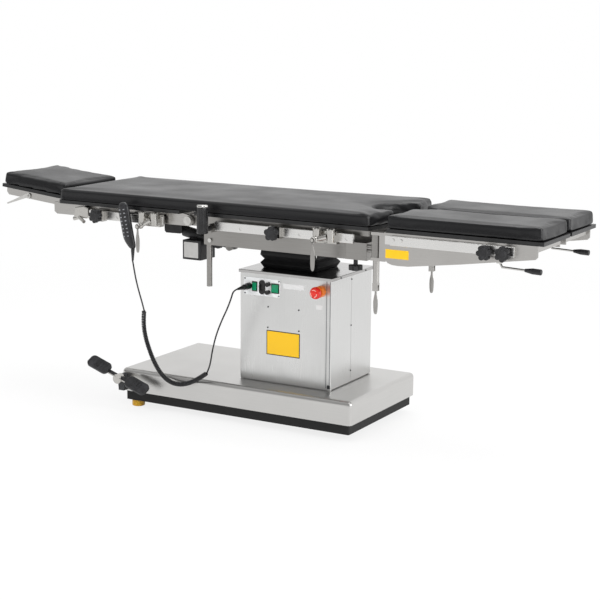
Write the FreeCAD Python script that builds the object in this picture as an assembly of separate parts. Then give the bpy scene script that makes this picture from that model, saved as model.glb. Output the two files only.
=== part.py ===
import FreeCAD, Part
import math
import os

V = FreeCAD.Vector

# Sizes in millimetres.
# X runs to the leg end, the operator side is at -Y, Z is up from the floor.
# X positions are measured from the lift column, and save() moves each finished
# piece so that the origin is the middle of the table's length.
# Heights of the table top hang from the underside of the boards.

# Fits
seat_gap = 0.3
pin_fit = 0.05

# Padded top
pad_top = 752.0
pad_thick = 42.0
board_thick = 12.0
torso_half = 240.0
back_pad_end = 870.0
seat_pad_end = 355.0
lobe_reach = seat_pad_end + 20.0
lobe_inner_y = 105.0
cut_radius = 90.0
cut_centre_x = lobe_reach - 23.0
fold_head_x = -410.0
fold_seat_x = -262.0
pad_corner = 12.0
pad_edge = 6.0
board_inset = 4.0

pad_bottom = pad_top - pad_thick
board_bottom = pad_bottom - board_thick

# Side rails: 30 x 10 mm bars on spacers
rail_high = 30.0
rail_thick = 10.0
rail_edge = 1.5
rail_outer = torso_half
rail_mid_z = board_bottom - 28.5
rail_inner = rail_outer - rail_thick
rail_low_z = rail_mid_z - rail_high / 2.0
rail_top_z = rail_mid_z + rail_high / 2.0
spacer_r = 8.0
rail_bolt_r = 7.0

# Seat section frame
plate_outer = torso_half - 35.0
plate_thick = 8.0
plate_inner = plate_outer - plate_thick
plate_low_z = board_bottom - 100.0
plate_arm_z = board_bottom - 22.0
plate_head_x = -281.0
plate_leg_x = seat_pad_end - 100.0
hinge_x = -336.0
hinge_z = board_bottom - 23.0
hinge_pin_r = 8.0
hinge_head_r = 15.0
hinge_head_long = 7.0
lug_reach = 17.0
beam_half = plate_inner
head_beam_x = -258.0
head_beam_wide = 20.0
head_beam_z = board_bottom - 30.0
leg_beam_wide = 24.0
leg_beam_z = board_bottom - 58.0
bearing_beam_z = board_bottom - 36.0
bearing_boss_r = 24.0
side_bolt_x = -256.0
side_bolt_z = board_bottom - 84.0
side_bolt_r = 7.0
side_bolt_long = 6.0
drop_rod_x = -270.0
drop_rod_r = 9.5
drop_rod_low = board_bottom - 244.0
seat_rail_x0 = -216.0
seat_rail_x1 = seat_pad_end - 55.0
seat_spacer_xs = (-113.0, 110.0, seat_rail_x1 - 20.0)
seat_board_x0 = -300.0

# Carrier of the legs and the cross pins of their bearings
carrier_x0 = plate_leg_x + 7.0
carrier_x1 = carrier_x0 + 76.0
carrier_z0 = board_bottom - 98.0
carrier_z1 = board_bottom - 42.0
carrier_wall = 6.0
carrier_half = torso_half - 23.0
leg_pin_r = 5.0
cross_pin_zs = (board_bottom - 66.0, board_bottom - 51.0)

# Side grip
grip_x = -239.0
grip_z = board_bottom - 39.0
grip_y = -rail_outer - 38.0
grip_r = 19.0
grip_below = 12.0
grip_above = 76.0
grip_flutes = 12
flute_r = 2.4
grip_arm_r = 9.0
grip_boss_r = 15.0

# Back section frame
back_bar_inner = plate_outer + 2.0
back_bar_thick = 10.0
back_bar_outer = back_bar_inner + back_bar_thick
back_bar_z0 = board_bottom - 41.0
back_cross_xs = (-850.0, -700.0, -560.0, -430.0)
back_cross_wide = 28.0
back_cross_deep = 26.0
back_rail_x0 = -735.0
back_rail_x1 = -425.0
back_spacer_xs = (-726.0, -610.0, -518.0)
back_board_x1 = -360.0

# Head section, drawn level and then tilted about its hinge
head_tilt = 5.6
head_hinge_x = -back_pad_end - 23.0
head_hinge_z = board_bottom - 20.0
head_pin_r = 8.0
head_pad_near = head_hinge_x - 16.0
head_pad_far = head_pad_near - 287.0
head_half = 156.0
head_frame_half = 150.0
head_frame_far = head_pad_far + 16.0
head_frame_near = head_pad_near - 16.0
head_frame_z = board_bottom - 26.0
head_frame_wall = 4.0
head_web_x = head_frame_far + 122.0
head_web_half = 4.0
head_arm_thick = 12.0
head_arm_half_high = 11.0
head_arm_eye_r = 13.0
head_board_over = 1.0
head_lever_x = head_frame_far + 103.0
head_lever_z = board_bottom - 15.0
head_lever_pin_r = 4.0
head_lever_boss_r = 9.5
back_bar_end = head_hinge_x - 12.0

# Posts of the leg sections
post_x0 = carrier_x1 + 12.0
post_x1 = post_x0 + 55.0
post_y = -torso_half + 30.0
post_half_y = 12.0
post_low = board_bottom - 94.0
post_top = board_bottom - 3.0
post_cap = 10.0
post_round = 6.0
post_tube_r = 10.5
post_ring_z = board_bottom - 184.0
post_pin_r = 4.0
spread_x = post_x0 + 19.0
spindle_r = 8.0
cheek_x0 = post_x0 + 34.0
fold_x = post_x0 + 46.0
fold_z = board_bottom - 64.0
fold_pin_r = 5.0
fold_eye_r = 11.0
tongue_half = 4.0
bearing_z0 = post_low + post_cap + seat_gap
bearing_z1 = post_top - post_cap - seat_gap

# Leg sections
leg_start = post_x1 + 6.0
leg_pad_end = leg_start + 514.0
leg_board_over = 5.0
leg_outer = torso_half - 7.0
leg_gap_half = 6.0
leg_cut_x = leg_start + 68.0
leg_cut_y = 58.0
leg_plate_thick = 6.0
leg_plate_start = leg_start - 5.0
leg_bar_deep = 22.0
leg_bar_wide = 25.0
leg_bar_xs = (leg_start + 89.0, leg_start + 279.0, leg_start + 469.0)
leg_inner_y = -30.0
leg_inner_deep = 30.0
tongue_bar_x0 = leg_start + 25.0
tongue_bar_x1 = leg_start + 44.0
tongue_deep = 40.0
leg_rail_x0 = leg_start + 20.0
leg_rail_x1 = leg_start + 431.0
leg_rail_z = rail_mid_z + 6.0
leg_bolt_xs = (leg_rail_x0 + 10.0, leg_rail_x0 + 37.0)
leg_bolt_r = 6.0
leg_bolt_long = 3.0
leg_knob_xs = (leg_start + 343.0, leg_start + 401.0)

# Release lever of a leg's gas spring
leg_lever_x = leg_start + 374.0
leg_lever_y = post_y - 2.0
leg_lever_z = board_bottom - 58.0
lever_pin_r = 2.5
lever_rod_r = 3.5
lever_bend_z = leg_lever_z - 18.0
lever_grip_x = leg_lever_x + 81.0
lever_grip_long = 53.0
lever_grip_r = 9.0

leg_reach = leg_pad_end + leg_board_over
tilt_cos = math.cos(math.radians(head_tilt))
tilt_sin = math.sin(math.radians(head_tilt))
board_far_x = head_pad_far - head_board_over - head_hinge_x
head_reach = -(head_hinge_x + board_far_x * tilt_cos
               + (board_bottom - head_hinge_z) * tilt_sin)
column_x = (head_reach - leg_reach) / 2.0

# Rail clamps, blade levers and star knobs
clamp_half = 38.0
crown_y = -rail_outer - 23.0
crown_r = 13.5
crown_bore_r = 8.1
crown_dx = 25.0
crown_teeth = 8
crown_rise = 14.0
lever_y = -rail_outer - 52.0
lever_dx = -24.0
lever_bolt_r = 5.0
knuckle_r = 10.0
blade_ring_half = 4.0
blade_thick = 5.0
blade_neck_half = 3.4
blade_half = 6.5
blade_tip_half = 3.0
knob_face_y = -rail_outer - 16.0
seat_clamp_x = seat_pad_end - 146.0
seat_clamp_bolt_z = board_bottom - 35.0
seat_blade_long = 100.0
back_clamp_x = -467.0
back_clamp_bolt_z = board_bottom - 46.0
back_blade_long = 90.0
post_blade_long = 84.0
post_blade_ring_r = 9.0
clamp_ring_r = 9.5
seat_block_x0 = 4.0
seat_block_x1 = 42.0
back_block_x0 = -716.0
back_block_x1 = -668.0
back_knob_x = -681.0
drop_knob_x = carrier_x0 + 29.0
drop_knob_y = -carrier_half + 17.0
knob_tip_r = 24.0

# Head clamp
head_clamp_x = -768.0
head_clamp_thick = 26.0

# Actuator of the back section
act_pivot_x = -236.0
act_pivot_z = board_bottom - 116.0
act_eye_x = -478.0
act_eye_z = board_bottom - 70.0
act_y = -100.0
act_tube_r = 19.0
act_rod_r = 10.0
act_pin_r = 6.0
act_eye_pin_r = 3.0
act_eye_r = 12.0
act_lug_gap = 12.3
act_lug_thick = 8.0
act_lug_r = 14.0
act_slot_travel = 10.0
act_slot_half = 8.0
act_bore_start = 66.0
act_head_x0 = 46.0
act_head_x1 = 96.0
motor_x0 = -405.0
motor_x1 = -330.0
motor_top = act_pivot_z + 14.0
motor_high = 66.0
cheek_gap = 14.0
act_cheek_thick = 6.0

# Tilt head
pivot_z = board_bottom - 48.0
cross_half = 42.0
cross_core_half = 26.0
cross_pin_r = 12.0
cheek_y0 = 58.0
cheek_thick = 14.0
cheek_eye_r = 18.0
cheek_foot_half = 40.0
bearing_x0 = 80.0
bearing_thick = 12.0

# Lift column
head_plate_z = pivot_z - 84.0
head_plate_thick = 14.0
head_plate_half = 84.0
outer_half = 66.0
outer_wall = 8.0
inner_half = outer_half - outer_wall - seat_gap
inner_wall = 6.0
inner_low = 180.0
screw_r = 16.0

# Bellows
bellows_x0 = -150.0
bellows_x1 = 168.0
bellows_half = 135.0
bellows_top = head_plate_z + 16.0
bellows_wall = 2.0
pleat_deep = 15.0
pleat_count = 3

# Base
base_x0 = -605.0
base_x1 = 301.0
base_half = 239.0
base_low = 59.0
base_top = 138.0
base_sheet = 2.5
base_round = 14.0
column_well_half = outer_half + 14.0
skirt_inset = 11.0
skirt_sheet = 3.0
skirt_low = 25.0
deck_z = 62.0
deck_thick = 12.0
wheel_r = 37.5
wheel_wide = 30.0
wheel_clear = 1.0
wheel_y = 96.0
wheel_axle_r = 6.0
wheel_play = 1.5
wheel_dish = 6.0
wheel_rim = 9.0
wheel_hub_r = 12.0
hanger_thick = 6.0
hanger_half = 26.0
hanger_foot_half = 11.0
head_wheel_x = -470.0
leg_wheel_x = 110.0
foot_r = 22.5
foot_high = 22.0
foot_stem_r = 8.0
foot_bush_r = 14.0
foot_bush_high = 40.0
foot_stem_space = 14.0
foot_head_x = -563.0
foot_head_y = 199.0
foot_leg_x = 200.0
foot_leg_y = 98.0
deck_rib_y = 130.0
deck_rib_thick = 6.0
deck_rib_inset = 60.0

# Cabinet
cab_half_x = 175.0
cab_half_y = 145.0
cab_low = base_top + 4.0
cab_top = bellows_top - 66.0
cab_sheet = 1.5
cab_seam_y = -4.0
cab_seam_half = 0.5
cab_post = 10.0
cab_foot_inset = 6.0
cab_foot_wide = 14.0
lid_over = 5.0
lid_lip = 10.0
lid_sheet = 2.0
outer_top = cab_top - 16.0

# Battery and control unit
battery_x0 = -460.0
battery_x1 = -300.0
battery_half = 75.0
battery_high = 55.0
control_x0 = 86.0
control_x1 = 150.0
control_half = 100.0
control_high = 170.0

# Control panel
panel_x0 = -160.0
panel_x1 = -18.0
panel_z0 = cab_top - 84.0
panel_z1 = cab_top - 24.0
panel_thick = 1.5
panel_screw_inset = 5.0
panel_screw_r = 2.2
socket_x = -138.0
socket_z = cab_top - 54.0
socket_r = 11.0
socket_long = 8.0
inlet_x = -87.0
inlet_half = 11.0
inlet_half_high = 13.0
inlet_deep = 5.0
inlet_room_half = 6.0
fuse_x = -62.0
fuse_zs = (socket_z - 14.5, socket_z + 12.5)
fuse_r = 7.5
fuse_long = 14.0
rocker_z0 = cab_top - 68.0
rocker_z1 = cab_top - 40.0
rocker_spans = ((-125.0, -109.0), (-50.0, -24.0))
rocker_pivot_r = 2.0
stop_x = 136.0
stop_z = cab_top - 46.0
stop_cap_r = 20.0
stop_cap_gap = 9.0
stop_collar_r = 19.0
stop_collar_long = 22.0
stop_stem_r = 9.0

# Pedal
pedal_x = -593.0
pedal_z = 108.0
pedal_tilt = 19.0
pedal_roll = 35.0
pedal_reach = 84.0
pedal_pad_long = 88.0
pedal_pad_wide = 46.0
pedal_pad_thick = 12.0
pedal_arm_low = 6.0
pedal_arm_top = 14.0
pedal_arm_half = 7.0
pedal_shaft_r = 8.0
pedal_hub_r = 17.0
pedal_hub_long = 24.0
pedal_bearing_long = 22.0
pedal_bearing_r = 14.0

# Handset
handset_high = 165.0
handset_wide = 49.0
handset_deep = 27.0
handset_top_x = -569.0
handset_top_z = board_bottom + 29.0
handset_lean = 11.3
handset_y = -rail_outer - 30.0
relief_long = 36.0
hook_dx = 11.0
hook_half = 9.0
hook_thick = 3.0

# Cord: the route was laid out for these places and follows them when they move
lead_r = 2.6
curl_r = 8.2
plug_y0 = -cab_half_y - panel_thick - socket_long
plug_long = 66.0
route_top = 727.0
route_y = -270.0


def block(x0, x1, y0, y1, z0, z1):
    return Part.makeBox(x1 - x0, y1 - y0, z1 - z0, V(x0, y0, z0))


def rod(start, end, radius):
    return Part.makeCylinder(radius, end.sub(start).Length, start, end.sub(start))


def rod_x(x0, x1, y, z, radius):
    return rod(V(x0, y, z), V(x1, y, z), radius)


def rod_y(x, y0, y1, z, radius):
    return rod(V(x, y0, z), V(x, y1, z), radius)


def rod_z(x, y, z0, z1, radius):
    return rod(V(x, y, z0), V(x, y, z1), radius)


def side_plate(points, y0, y1):
    corners = [V(x, y0, z) for x, z in points]
    face = Part.Face(Part.makePolygon(corners + corners[:1]))
    return face.extrude(V(0, y1 - y0, 0))


def plan_plate(points, z0, z1):
    corners = [V(x, y, z0) for x, y in points]
    face = Part.Face(Part.makePolygon(corners + corners[:1]))
    return face.extrude(V(0, 0, z1 - z0))


def end_plate(points, x0, x1):
    corners = [V(x0, y, z) for y, z in points]
    face = Part.Face(Part.makePolygon(corners + corners[:1]))
    return face.extrude(V(x1 - x0, 0, 0))


def mirrored(shape):
    return shape.mirror(V(0, 0, 0), V(0, 1, 0))


def upright(edge):
    start, end = edge.Vertexes[0].Point, edge.Vertexes[-1].Point
    return abs(start.x - end.x) < 0.01 and abs(start.y - end.y) < 0.01 and abs(start.z - end.z) > 0.01


def level_y(edge, y):
    return all(abs(vertex.Y - y) < 0.01 for vertex in edge.Vertexes)


def level_at(edge, z):
    return all(abs(vertex.Z - z) < 0.01 for vertex in edge.Vertexes)


def rounded(shape, radius, pick):
    return shape.makeFillet(radius, [edge for edge in shape.Edges if pick(edge)])


def rounded_slab(x0, x1, y0, y1, z0, z1, corner, edge_round):
    slab = rounded(block(x0, x1, y0, y1, z0, z1), corner, upright)
    return rounded(slab, edge_round, lambda edge: level_at(edge, z1))


def turned(shape, centre, axis, degrees):
    copy = shape.copy()
    copy.rotate(centre, axis, degrees)
    return copy


def head_tilted(shape):
    return turned(shape, V(head_hinge_x, 0, head_hinge_z), V(0, 1, 0), head_tilt)


def save(name, *solids):
    shape = Part.makeCompound(list(solids)) if len(solids) > 1 else solids[0]
    shape.translated(V(column_x, 0, 0)).exportStep("parts/" + name + ".step")


# Base and chassis


def base_cover():
    cover = rounded(block(base_x0, base_x1, -base_half, base_half, base_low, base_top),
                    base_round, upright)
    cover = rounded(cover, base_round, lambda edge: level_at(edge, base_top))
    inner_round = base_round - base_sheet
    room = rounded(block(base_x0 + base_sheet, base_x1 - base_sheet,
                         -base_half + base_sheet, base_half - base_sheet,
                         base_low + base_sheet, base_top - base_sheet), inner_round, upright)
    room = rounded(room, inner_round, lambda edge: level_at(edge, base_top - base_sheet))
    lip = skirt_inset + skirt_sheet + seat_gap
    mouth = block(base_x0 + lip, base_x1 - lip, -base_half + lip, base_half - lip,
                  base_low - 1, base_low + base_sheet + 1)
    well = column_well_half
    column_hole = block(-well, well, -well, well, base_top - 10, base_top + 1)
    cover = cover.cut(room).cut(mouth).cut(column_hole)
    shaft_hole = rod_y(pedal_x, -base_half - 1, -base_half + 2 * base_round, pedal_z,
                       pedal_shaft_r + seat_gap)
    return cover.cut(shaft_hole)


def base_skirt():
    x0, x1 = base_x0 + skirt_inset, base_x1 - skirt_inset
    half = base_half - skirt_inset
    outside = rounded(block(x0, x1, -half, half, skirt_low, base_low), 6.0, upright)
    inside = block(x0 + skirt_sheet, x1 - skirt_sheet, -half + skirt_sheet, half - skirt_sheet,
                   skirt_low - 1, base_low + 1)
    return outside.cut(inside)


def wheel_spots():
    return [(x, side * wheel_y) for x in (head_wheel_x, leg_wheel_x) for side in (-1, 1)]


def foot_spots():
    corners = ((foot_head_x, foot_head_y), (foot_leg_x, foot_leg_y))
    return [(x, side * y) for x, y in corners for side in (-1, 1)]


def axle_z():
    return wheel_clear + wheel_r


def chassis_deck():
    """Deck plate with wheel wells and hangers, bushes for the feet and two ribs that carry the cover."""
    edge = skirt_inset + skirt_sheet + seat_gap
    deck_top = deck_z + deck_thick
    deck = block(base_x0 + edge, base_x1 - edge, -base_half + edge, base_half - edge, deck_z, deck_top)
    gap_half = wheel_wide / 2.0 + wheel_play
    well_half = wheel_r + 4
    for x, y in wheel_spots():
        deck = deck.cut(block(x - well_half, x + well_half, y - gap_half, y + gap_half,
                              deck_z - 1, deck_top + 1))
        low = axle_z() - hanger_foot_half
        profile = [(x - hanger_half, deck_z), (x + hanger_half, deck_z),
                   (x + hanger_foot_half, low), (x - hanger_foot_half, low)]
        for start in (y - gap_half - hanger_thick, y + gap_half):
            deck = deck.fuse(side_plate(profile, start, start + hanger_thick))
        deck = deck.cut(rod_y(x, y - 40, y + 40, axle_z(), wheel_axle_r + pin_fit))
    for x, y in foot_spots():
        bush = rod_z(x, y, deck_z, deck_z + foot_bush_high, foot_bush_r)
        bore = rod_z(x, y, deck_z - 1, deck_z + foot_bush_high + 1, foot_stem_r + pin_fit)
        deck = deck.fuse(bush).cut(bore)
    for side in (-1, 1):
        y = side * deck_rib_y
        deck = deck.fuse(block(base_x0 + deck_rib_inset, base_x1 - deck_rib_inset, y - deck_rib_thick / 2,
                               y + deck_rib_thick / 2, deck_top, base_top - base_sheet))
    return deck.removeSplitter(), pedal_bracket()


def pedal_bracket():
    """Steel bearing for the pedal's shaft, bolted to the side of the base at the head end."""
    front, back = -base_half - pedal_bearing_long, -base_half
    wide = pedal_bearing_r
    bearing = side_plate([(pedal_x - wide + 4, deck_z + 1), (pedal_x + wide - 2, deck_z + 1),
                          (pedal_x + wide, pedal_z), (pedal_x - wide, pedal_z)], front, back)
    bearing = bearing.fuse(rod_y(pedal_x, front, back, pedal_z, wide))
    return bearing.cut(rod_y(pedal_x, front - 1, back + 1, pedal_z, pedal_shaft_r + pin_fit))


def wheels(x):
    solids = rod_y(x, -wheel_y - 24, wheel_y + 24, axle_z(), wheel_axle_r)
    for side in (-1, 1):
        y = side * wheel_y
        tyre = rod_y(x, y - wheel_wide / 2, y + wheel_wide / 2, axle_z(), wheel_r)
        for face in (-1, 1):
            start = y + face * wheel_wide / 2
            end = start - face * wheel_dish
            dish = rod_y(x, start, end, axle_z(), wheel_r - wheel_rim)
            tyre = tyre.cut(dish.cut(rod_y(x, start, end, axle_z(), wheel_hub_r)))
        solids = solids.fuse(tyre)
    return solids


def lock_feet():
    feet = []
    for x, y in foot_spots():
        pad = rod_z(x, y, 0, foot_high, foot_r)
        pad = rounded(pad, 4.0, lambda edge: level_at(edge, 0))
        stem = rod_z(x, y, foot_high, base_top - base_sheet - foot_stem_space, foot_stem_r)
        feet.append(pad.fuse(stem))
    return feet


def floor_lock_pedal():
    """Rocker pedal: hub on a cross shaft, one arm each way, a ribbed rubber pad on each arm."""
    front = -base_half - pedal_bearing_long
    hub_y0 = front - pedal_hub_long
    hub = rod_y(pedal_x, hub_y0, front - seat_gap, pedal_z, pedal_hub_r)
    shaft = rod_y(pedal_x, front - 1, -base_half + base_round, pedal_z, pedal_shaft_r)
    body = hub.fuse(shaft)
    half = pedal_arm_half
    pad_x0, pad_x1 = pedal_reach - pedal_pad_long / 2, pedal_reach + pedal_pad_long / 2
    pads = []
    for side in (-1, 1):
        arm = block(pedal_shaft_r, pad_x1 - 14, -half, half, pedal_arm_low, pedal_arm_top)
        pad = rounded_slab(pad_x0, pad_x1, -pedal_pad_wide / 2, pedal_pad_wide / 2,
                           pedal_arm_top, pedal_arm_top + pedal_pad_thick, 15.0, 4.0)
        for rib in (-1, 0, 1):
            x = pedal_reach + 12 * rib
            pad = pad.fuse(block(x - 3, x + 3, -12, 12, pedal_arm_top + 1,
                                 pedal_arm_top + pedal_pad_thick + 1.5))
        for piece in (arm, pad):
            piece.rotate(V(0, 0, 0), V(1, 0, 0), pedal_roll)
        if side < 0:
            arm, pad = [piece.mirror(V(0, 0, 0), V(1, 0, 0)) for piece in (arm, pad)]
        for piece in (arm, pad):
            piece.rotate(V(0, 0, 0), V(0, 1, 0), pedal_tilt)
            piece.translate(V(pedal_x, hub_y0 + pedal_hub_long / 2, pedal_z))
        body = body.fuse(arm)
        pads.append(pad)
    return [body] + pads


# Cabinet


def cabinet_half(front):
    x0, x1 = -cab_half_x, cab_half_x
    if front:
        y0, y1 = -cab_half_y, cab_seam_y - cab_seam_half
    else:
        y0, y1 = cab_seam_y + cab_seam_half, cab_half_y
    shell = block(x0, x1, y0, y1, cab_low, cab_top - lid_sheet)
    shell = rounded(shell, 3.0, lambda edge: upright(edge) and abs(edge.Vertexes[0].Y) > cab_half_y - 1)
    if front:
        room = block(x0 + cab_sheet, x1 - cab_sheet, y0 + cab_sheet, y1 + 1, cab_low - 1, cab_top)
    else:
        room = block(x0 + cab_sheet, x1 - cab_sheet, y0 - 1, y1 - cab_sheet, cab_low - 1, cab_top)
    return shell.cut(room)


def cabinet_front_cover():
    cover = cabinet_half(True)
    cover = cover.cut(rod_y(socket_x, -cab_half_y - 1, -cab_half_y + 3, socket_z, 6.0))
    for index in (0, 1):
        cover = cover.cut(rocker_window(index))
    cover = cover.cut(rod_y(stop_x, -cab_half_y - 1, -cab_half_y + 3, stop_z, stop_stem_r + 1))
    trim_x0 = cab_half_x - 22
    grooves = [block(x, x + 2.0, -cab_half_y - 1, -cab_half_y + 0.7, cab_low, cab_top - lid_lip)
               for x in (trim_x0, trim_x0 + 10)]
    for groove in grooves:
        cover = cover.cut(groove)
    return cover


def cabinet_foot():
    x1, y1 = cab_half_x - cab_foot_inset, cab_half_y - cab_foot_inset
    x_in, y_in = x1 - cab_foot_wide, y1 - cab_foot_wide
    ring = block(-x1, x1, -y1, y1, base_top, cab_low)
    ring = ring.cut(block(-x_in, x_in, -y_in, y_in, base_top - 1, cab_low + 1))
    half = cab_post / 2
    for x in (-1, 1):
        for y in (-1, 1):
            px = x * (cab_half_x - cab_sheet - half - seat_gap)
            py = y * (cab_half_y - cab_sheet - half - seat_gap)
            ring = ring.fuse(block(px - half, px + half, py - half, py + half,
                                   base_top, cab_top - lid_sheet))
    return ring


def cabinet_lid():
    x1, y1 = cab_half_x + lid_over, cab_half_y + lid_over
    lid = rounded(block(-x1, x1, -y1, y1, cab_top - lid_lip, cab_top), 4.0, upright)
    lid = rounded(lid, 1.5, lambda edge: level_at(edge, cab_top))
    lid = lid.cut(block(-x1 + lid_sheet, x1 - lid_sheet, -y1 + lid_sheet, y1 - lid_sheet,
                        cab_top - lid_lip - 1, cab_top - lid_sheet))
    hole = outer_half + 6
    return lid.cut(block(-hole, hole, -hole, hole, cab_top - lid_sheet - 1, cab_top + 1))


def control_panel():
    front = -cab_half_y
    face = front - panel_thick
    plate = block(panel_x0, panel_x1, face, front, panel_z0, panel_z1)
    plate = rounded(plate, 0.6, lambda edge: abs(edge.Vertexes[0].Y - face) < 0.01
                    and abs(edge.Vertexes[-1].Y - face) < 0.01)
    for index in (0, 1):
        plate = plate.cut(rocker_window(index))
    socket = rod_y(socket_x, face - socket_long, face, socket_z, socket_r)
    low, high = socket_z - inlet_half_high, socket_z + inlet_half_high
    inlet = block(inlet_x - inlet_half, inlet_x + inlet_half, face - inlet_deep, face, low, high)
    for z in (low, high):
        inlet = inlet.fuse(rod_y(inlet_x, face - inlet_deep, face, z, inlet_half))
    inlet = inlet.cut(block(inlet_x - inlet_room_half, inlet_x + inlet_room_half,
                            face - inlet_deep - 1, face - 1, low + 1, high - 1))
    fuses = [rod_y(fuse_x, face - fuse_long, face, z, fuse_r) for z in fuse_zs]
    collar = rod_y(stop_x, front - stop_collar_long, front, stop_z, stop_collar_r)
    collar = collar.cut(rod_y(stop_x, front - stop_collar_long - 1, front + 1, stop_z,
                              stop_stem_r + seat_gap))
    screws = []
    for x in (panel_x0 + panel_screw_inset, panel_x1 - panel_screw_inset):
        for z in (panel_z0 + panel_screw_inset, panel_z1 - panel_screw_inset):
            screws.append(rod_y(x, face - 1.5, face, z, panel_screw_r))
    return [plate, socket, inlet.removeSplitter(), collar] + fuses + screws


def rocker_span(index):
    return rocker_spans[index]


def rocker_window(index):
    x0, x1 = rocker_span(index)
    return block(x0 - seat_gap, x1 + seat_gap, -cab_half_y - panel_thick - 1, -cab_half_y + 3,
                 rocker_z0 - seat_gap, rocker_z1 + seat_gap)


def rocker(index):
    x0, x1 = rocker_span(index)
    front = -cab_half_y - panel_thick
    mid = (rocker_z0 + rocker_z1) / 2.0
    profile = [(front + 1.0, rocker_z0 + 1), (front - 5.5, rocker_z0 + 1), (front - 3.0, mid),
               (front - 2.0, rocker_z1 - 1), (front + 1.0, rocker_z1 - 1)]
    paddle = end_plate(profile, x0 + seat_gap, x1 - seat_gap)
    return paddle.fuse(rod_x(x0 + seat_gap, x1 - seat_gap, -cab_half_y, mid, rocker_pivot_r))


def estop_button():
    front = -cab_half_y
    face = front - stop_collar_long - stop_cap_gap
    stem = rod_y(stop_x, face + 1, front - 2, stop_z, stop_stem_r)
    profile = [V(0, 0, 0), V(stop_cap_r - 6, 0, 0), V(stop_cap_r, 5, 0), V(stop_cap_r, 10, 0),
               V(stop_cap_r - 3, 16, 0), V(stop_cap_r - 9, 20, 0), V(0, 21, 0)]
    cap = Part.Face(Part.makePolygon(profile + profile[:1])).revolve(V(0, 0, 0), V(0, 1, 0), 360)
    cap.rotate(V(0, 0, 0), V(0, 0, 1), 180)
    cap.translate(V(stop_x, face + 2, stop_z))
    return stem.fuse(cap)


# Column and lift


def column_outer():
    tube = block(-outer_half, outer_half, -outer_half, outer_half, deck_z + deck_thick, outer_top)
    tube = rounded(tube, 6.0, upright)
    hollow = outer_half - outer_wall
    tube = tube.cut(block(-hollow, hollow, -hollow, hollow, deck_z + deck_thick, outer_top + 1))
    motor = rod_z(0, 0, deck_z + deck_thick, inner_low - 6, 34.0)
    motor = motor.fuse(rod_z(0, 0, inner_low - 6, outer_top - 60, 26.0))
    motor = motor.cut(rod_z(0, 0, inner_low, outer_top, screw_r + pin_fit))
    return tube, motor


def column_inner():
    tube = block(-inner_half, inner_half, -inner_half, inner_half, inner_low, head_plate_z)
    hollow = inner_half - inner_wall
    tube = tube.cut(block(-hollow, hollow, -hollow, hollow, inner_low - 1, head_plate_z + 1))
    plate_top = head_plate_z + head_plate_thick
    half = head_plate_half
    plate = block(-half, half, -half, half, head_plate_z, plate_top)
    body = tube.fuse(plate)
    for side in (-1, 1):
        y0, y1 = sorted((side * cheek_y0, side * (cheek_y0 + cheek_thick)))
        cheek = side_plate([(-cheek_foot_half, plate_top), (cheek_foot_half, plate_top),
                            (cheek_eye_r, pivot_z), (-cheek_eye_r, pivot_z)], y0, y1)
        cheek = cheek.fuse(rod_y(0, y0, y1, pivot_z, cheek_eye_r))
        cheek = cheek.cut(rod_y(0, y0 - 1, y1 + 1, pivot_z, cross_pin_r + pin_fit))
        body = body.fuse(cheek)
    screw = rod_z(0, 0, inner_low + 20, head_plate_z, screw_r)
    return body.fuse(screw).removeSplitter()


def tilt_cross():
    half = cross_half
    core = block(-half, half, -half, half, pivot_z - cross_core_half, pivot_z + cross_core_half)
    core = core.makeChamfer(6.0, [edge for edge in core.Edges if upright(edge)])
    reach_y = cheek_y0 + cheek_thick + 4
    reach_x = bearing_x0 + bearing_thick + 4
    core = core.fuse(rod_y(0, -reach_y, reach_y, pivot_z, cross_pin_r))
    return core.fuse(rod_x(-reach_x, reach_x, 0, pivot_z, cross_pin_r))


def bellows():
    """Pleated skirt: the wall runs in and out between the lid and the top plate."""
    low, high = cab_top, bellows_top
    pitch = (high - low) / pleat_count

    def rings(inset):
        levels = []
        for fold in range(pleat_count):
            levels.append((low + pitch * fold, pleat_deep + inset))
            levels.append((low + pitch * (fold + 0.5), inset))
        levels.append((high, pleat_deep + inset))
        return levels

    def body(inset, z_low, z_high):
        sections = []
        for z, depth in rings(inset):
            z = min(max(z, z_low), z_high)
            x0, x1 = bellows_x0 + depth, bellows_x1 - depth
            half = bellows_half - depth
            corners = [V(x0, -half, z), V(x1, -half, z), V(x1, half, z), V(x0, half, z)]
            sections.append(Part.makePolygon(corners + corners[:1]))
        return Part.makeLoft(sections, True, True)

    outside = body(0.0, low, high)
    inside = body(bellows_wall, low, high)
    skirt = outside.cut(inside)
    x0, x1 = bellows_x0 + pleat_deep, bellows_x1 - pleat_deep
    half = bellows_half - pleat_deep
    hole = head_plate_half - 6
    frame = block(x0, x1, -half, half, high - 2, high)
    frame = frame.cut(block(-hole, hole, -hole, hole, high - 3, high + 1))
    return skirt.fuse(frame).removeSplitter()


# Seat section


def hinge_lug(y0, y1):
    strap = side_plate([(hinge_x, hinge_z - lug_reach), (plate_head_x + 10, hinge_z - lug_reach),
                        (plate_head_x + 10, board_bottom), (hinge_x, board_bottom)], y0, y1)
    strap = strap.fuse(rod_y(hinge_x, y0, y1, hinge_z, lug_reach))
    return strap


def seat_side_plate(side):
    """Plate along one edge of the seat, with a hinge lug at the head end and an arm over the carrier."""
    y0, y1 = sorted((side * plate_inner, side * plate_outer))
    plate = side_plate([(plate_head_x, plate_low_z), (plate_leg_x, plate_low_z),
                        (plate_leg_x, board_bottom), (plate_head_x, board_bottom)], y0, y1)
    plate = plate.fuse(hinge_lug(y0, y1))
    plate = plate.fuse(block(plate_leg_x - 1, carrier_x1, y0, y1, plate_arm_z, board_bottom))
    return plate.cut(rod_y(hinge_x, y0 - 1, y1 + 1, hinge_z, hinge_pin_r + pin_fit)).removeSplitter()


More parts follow.
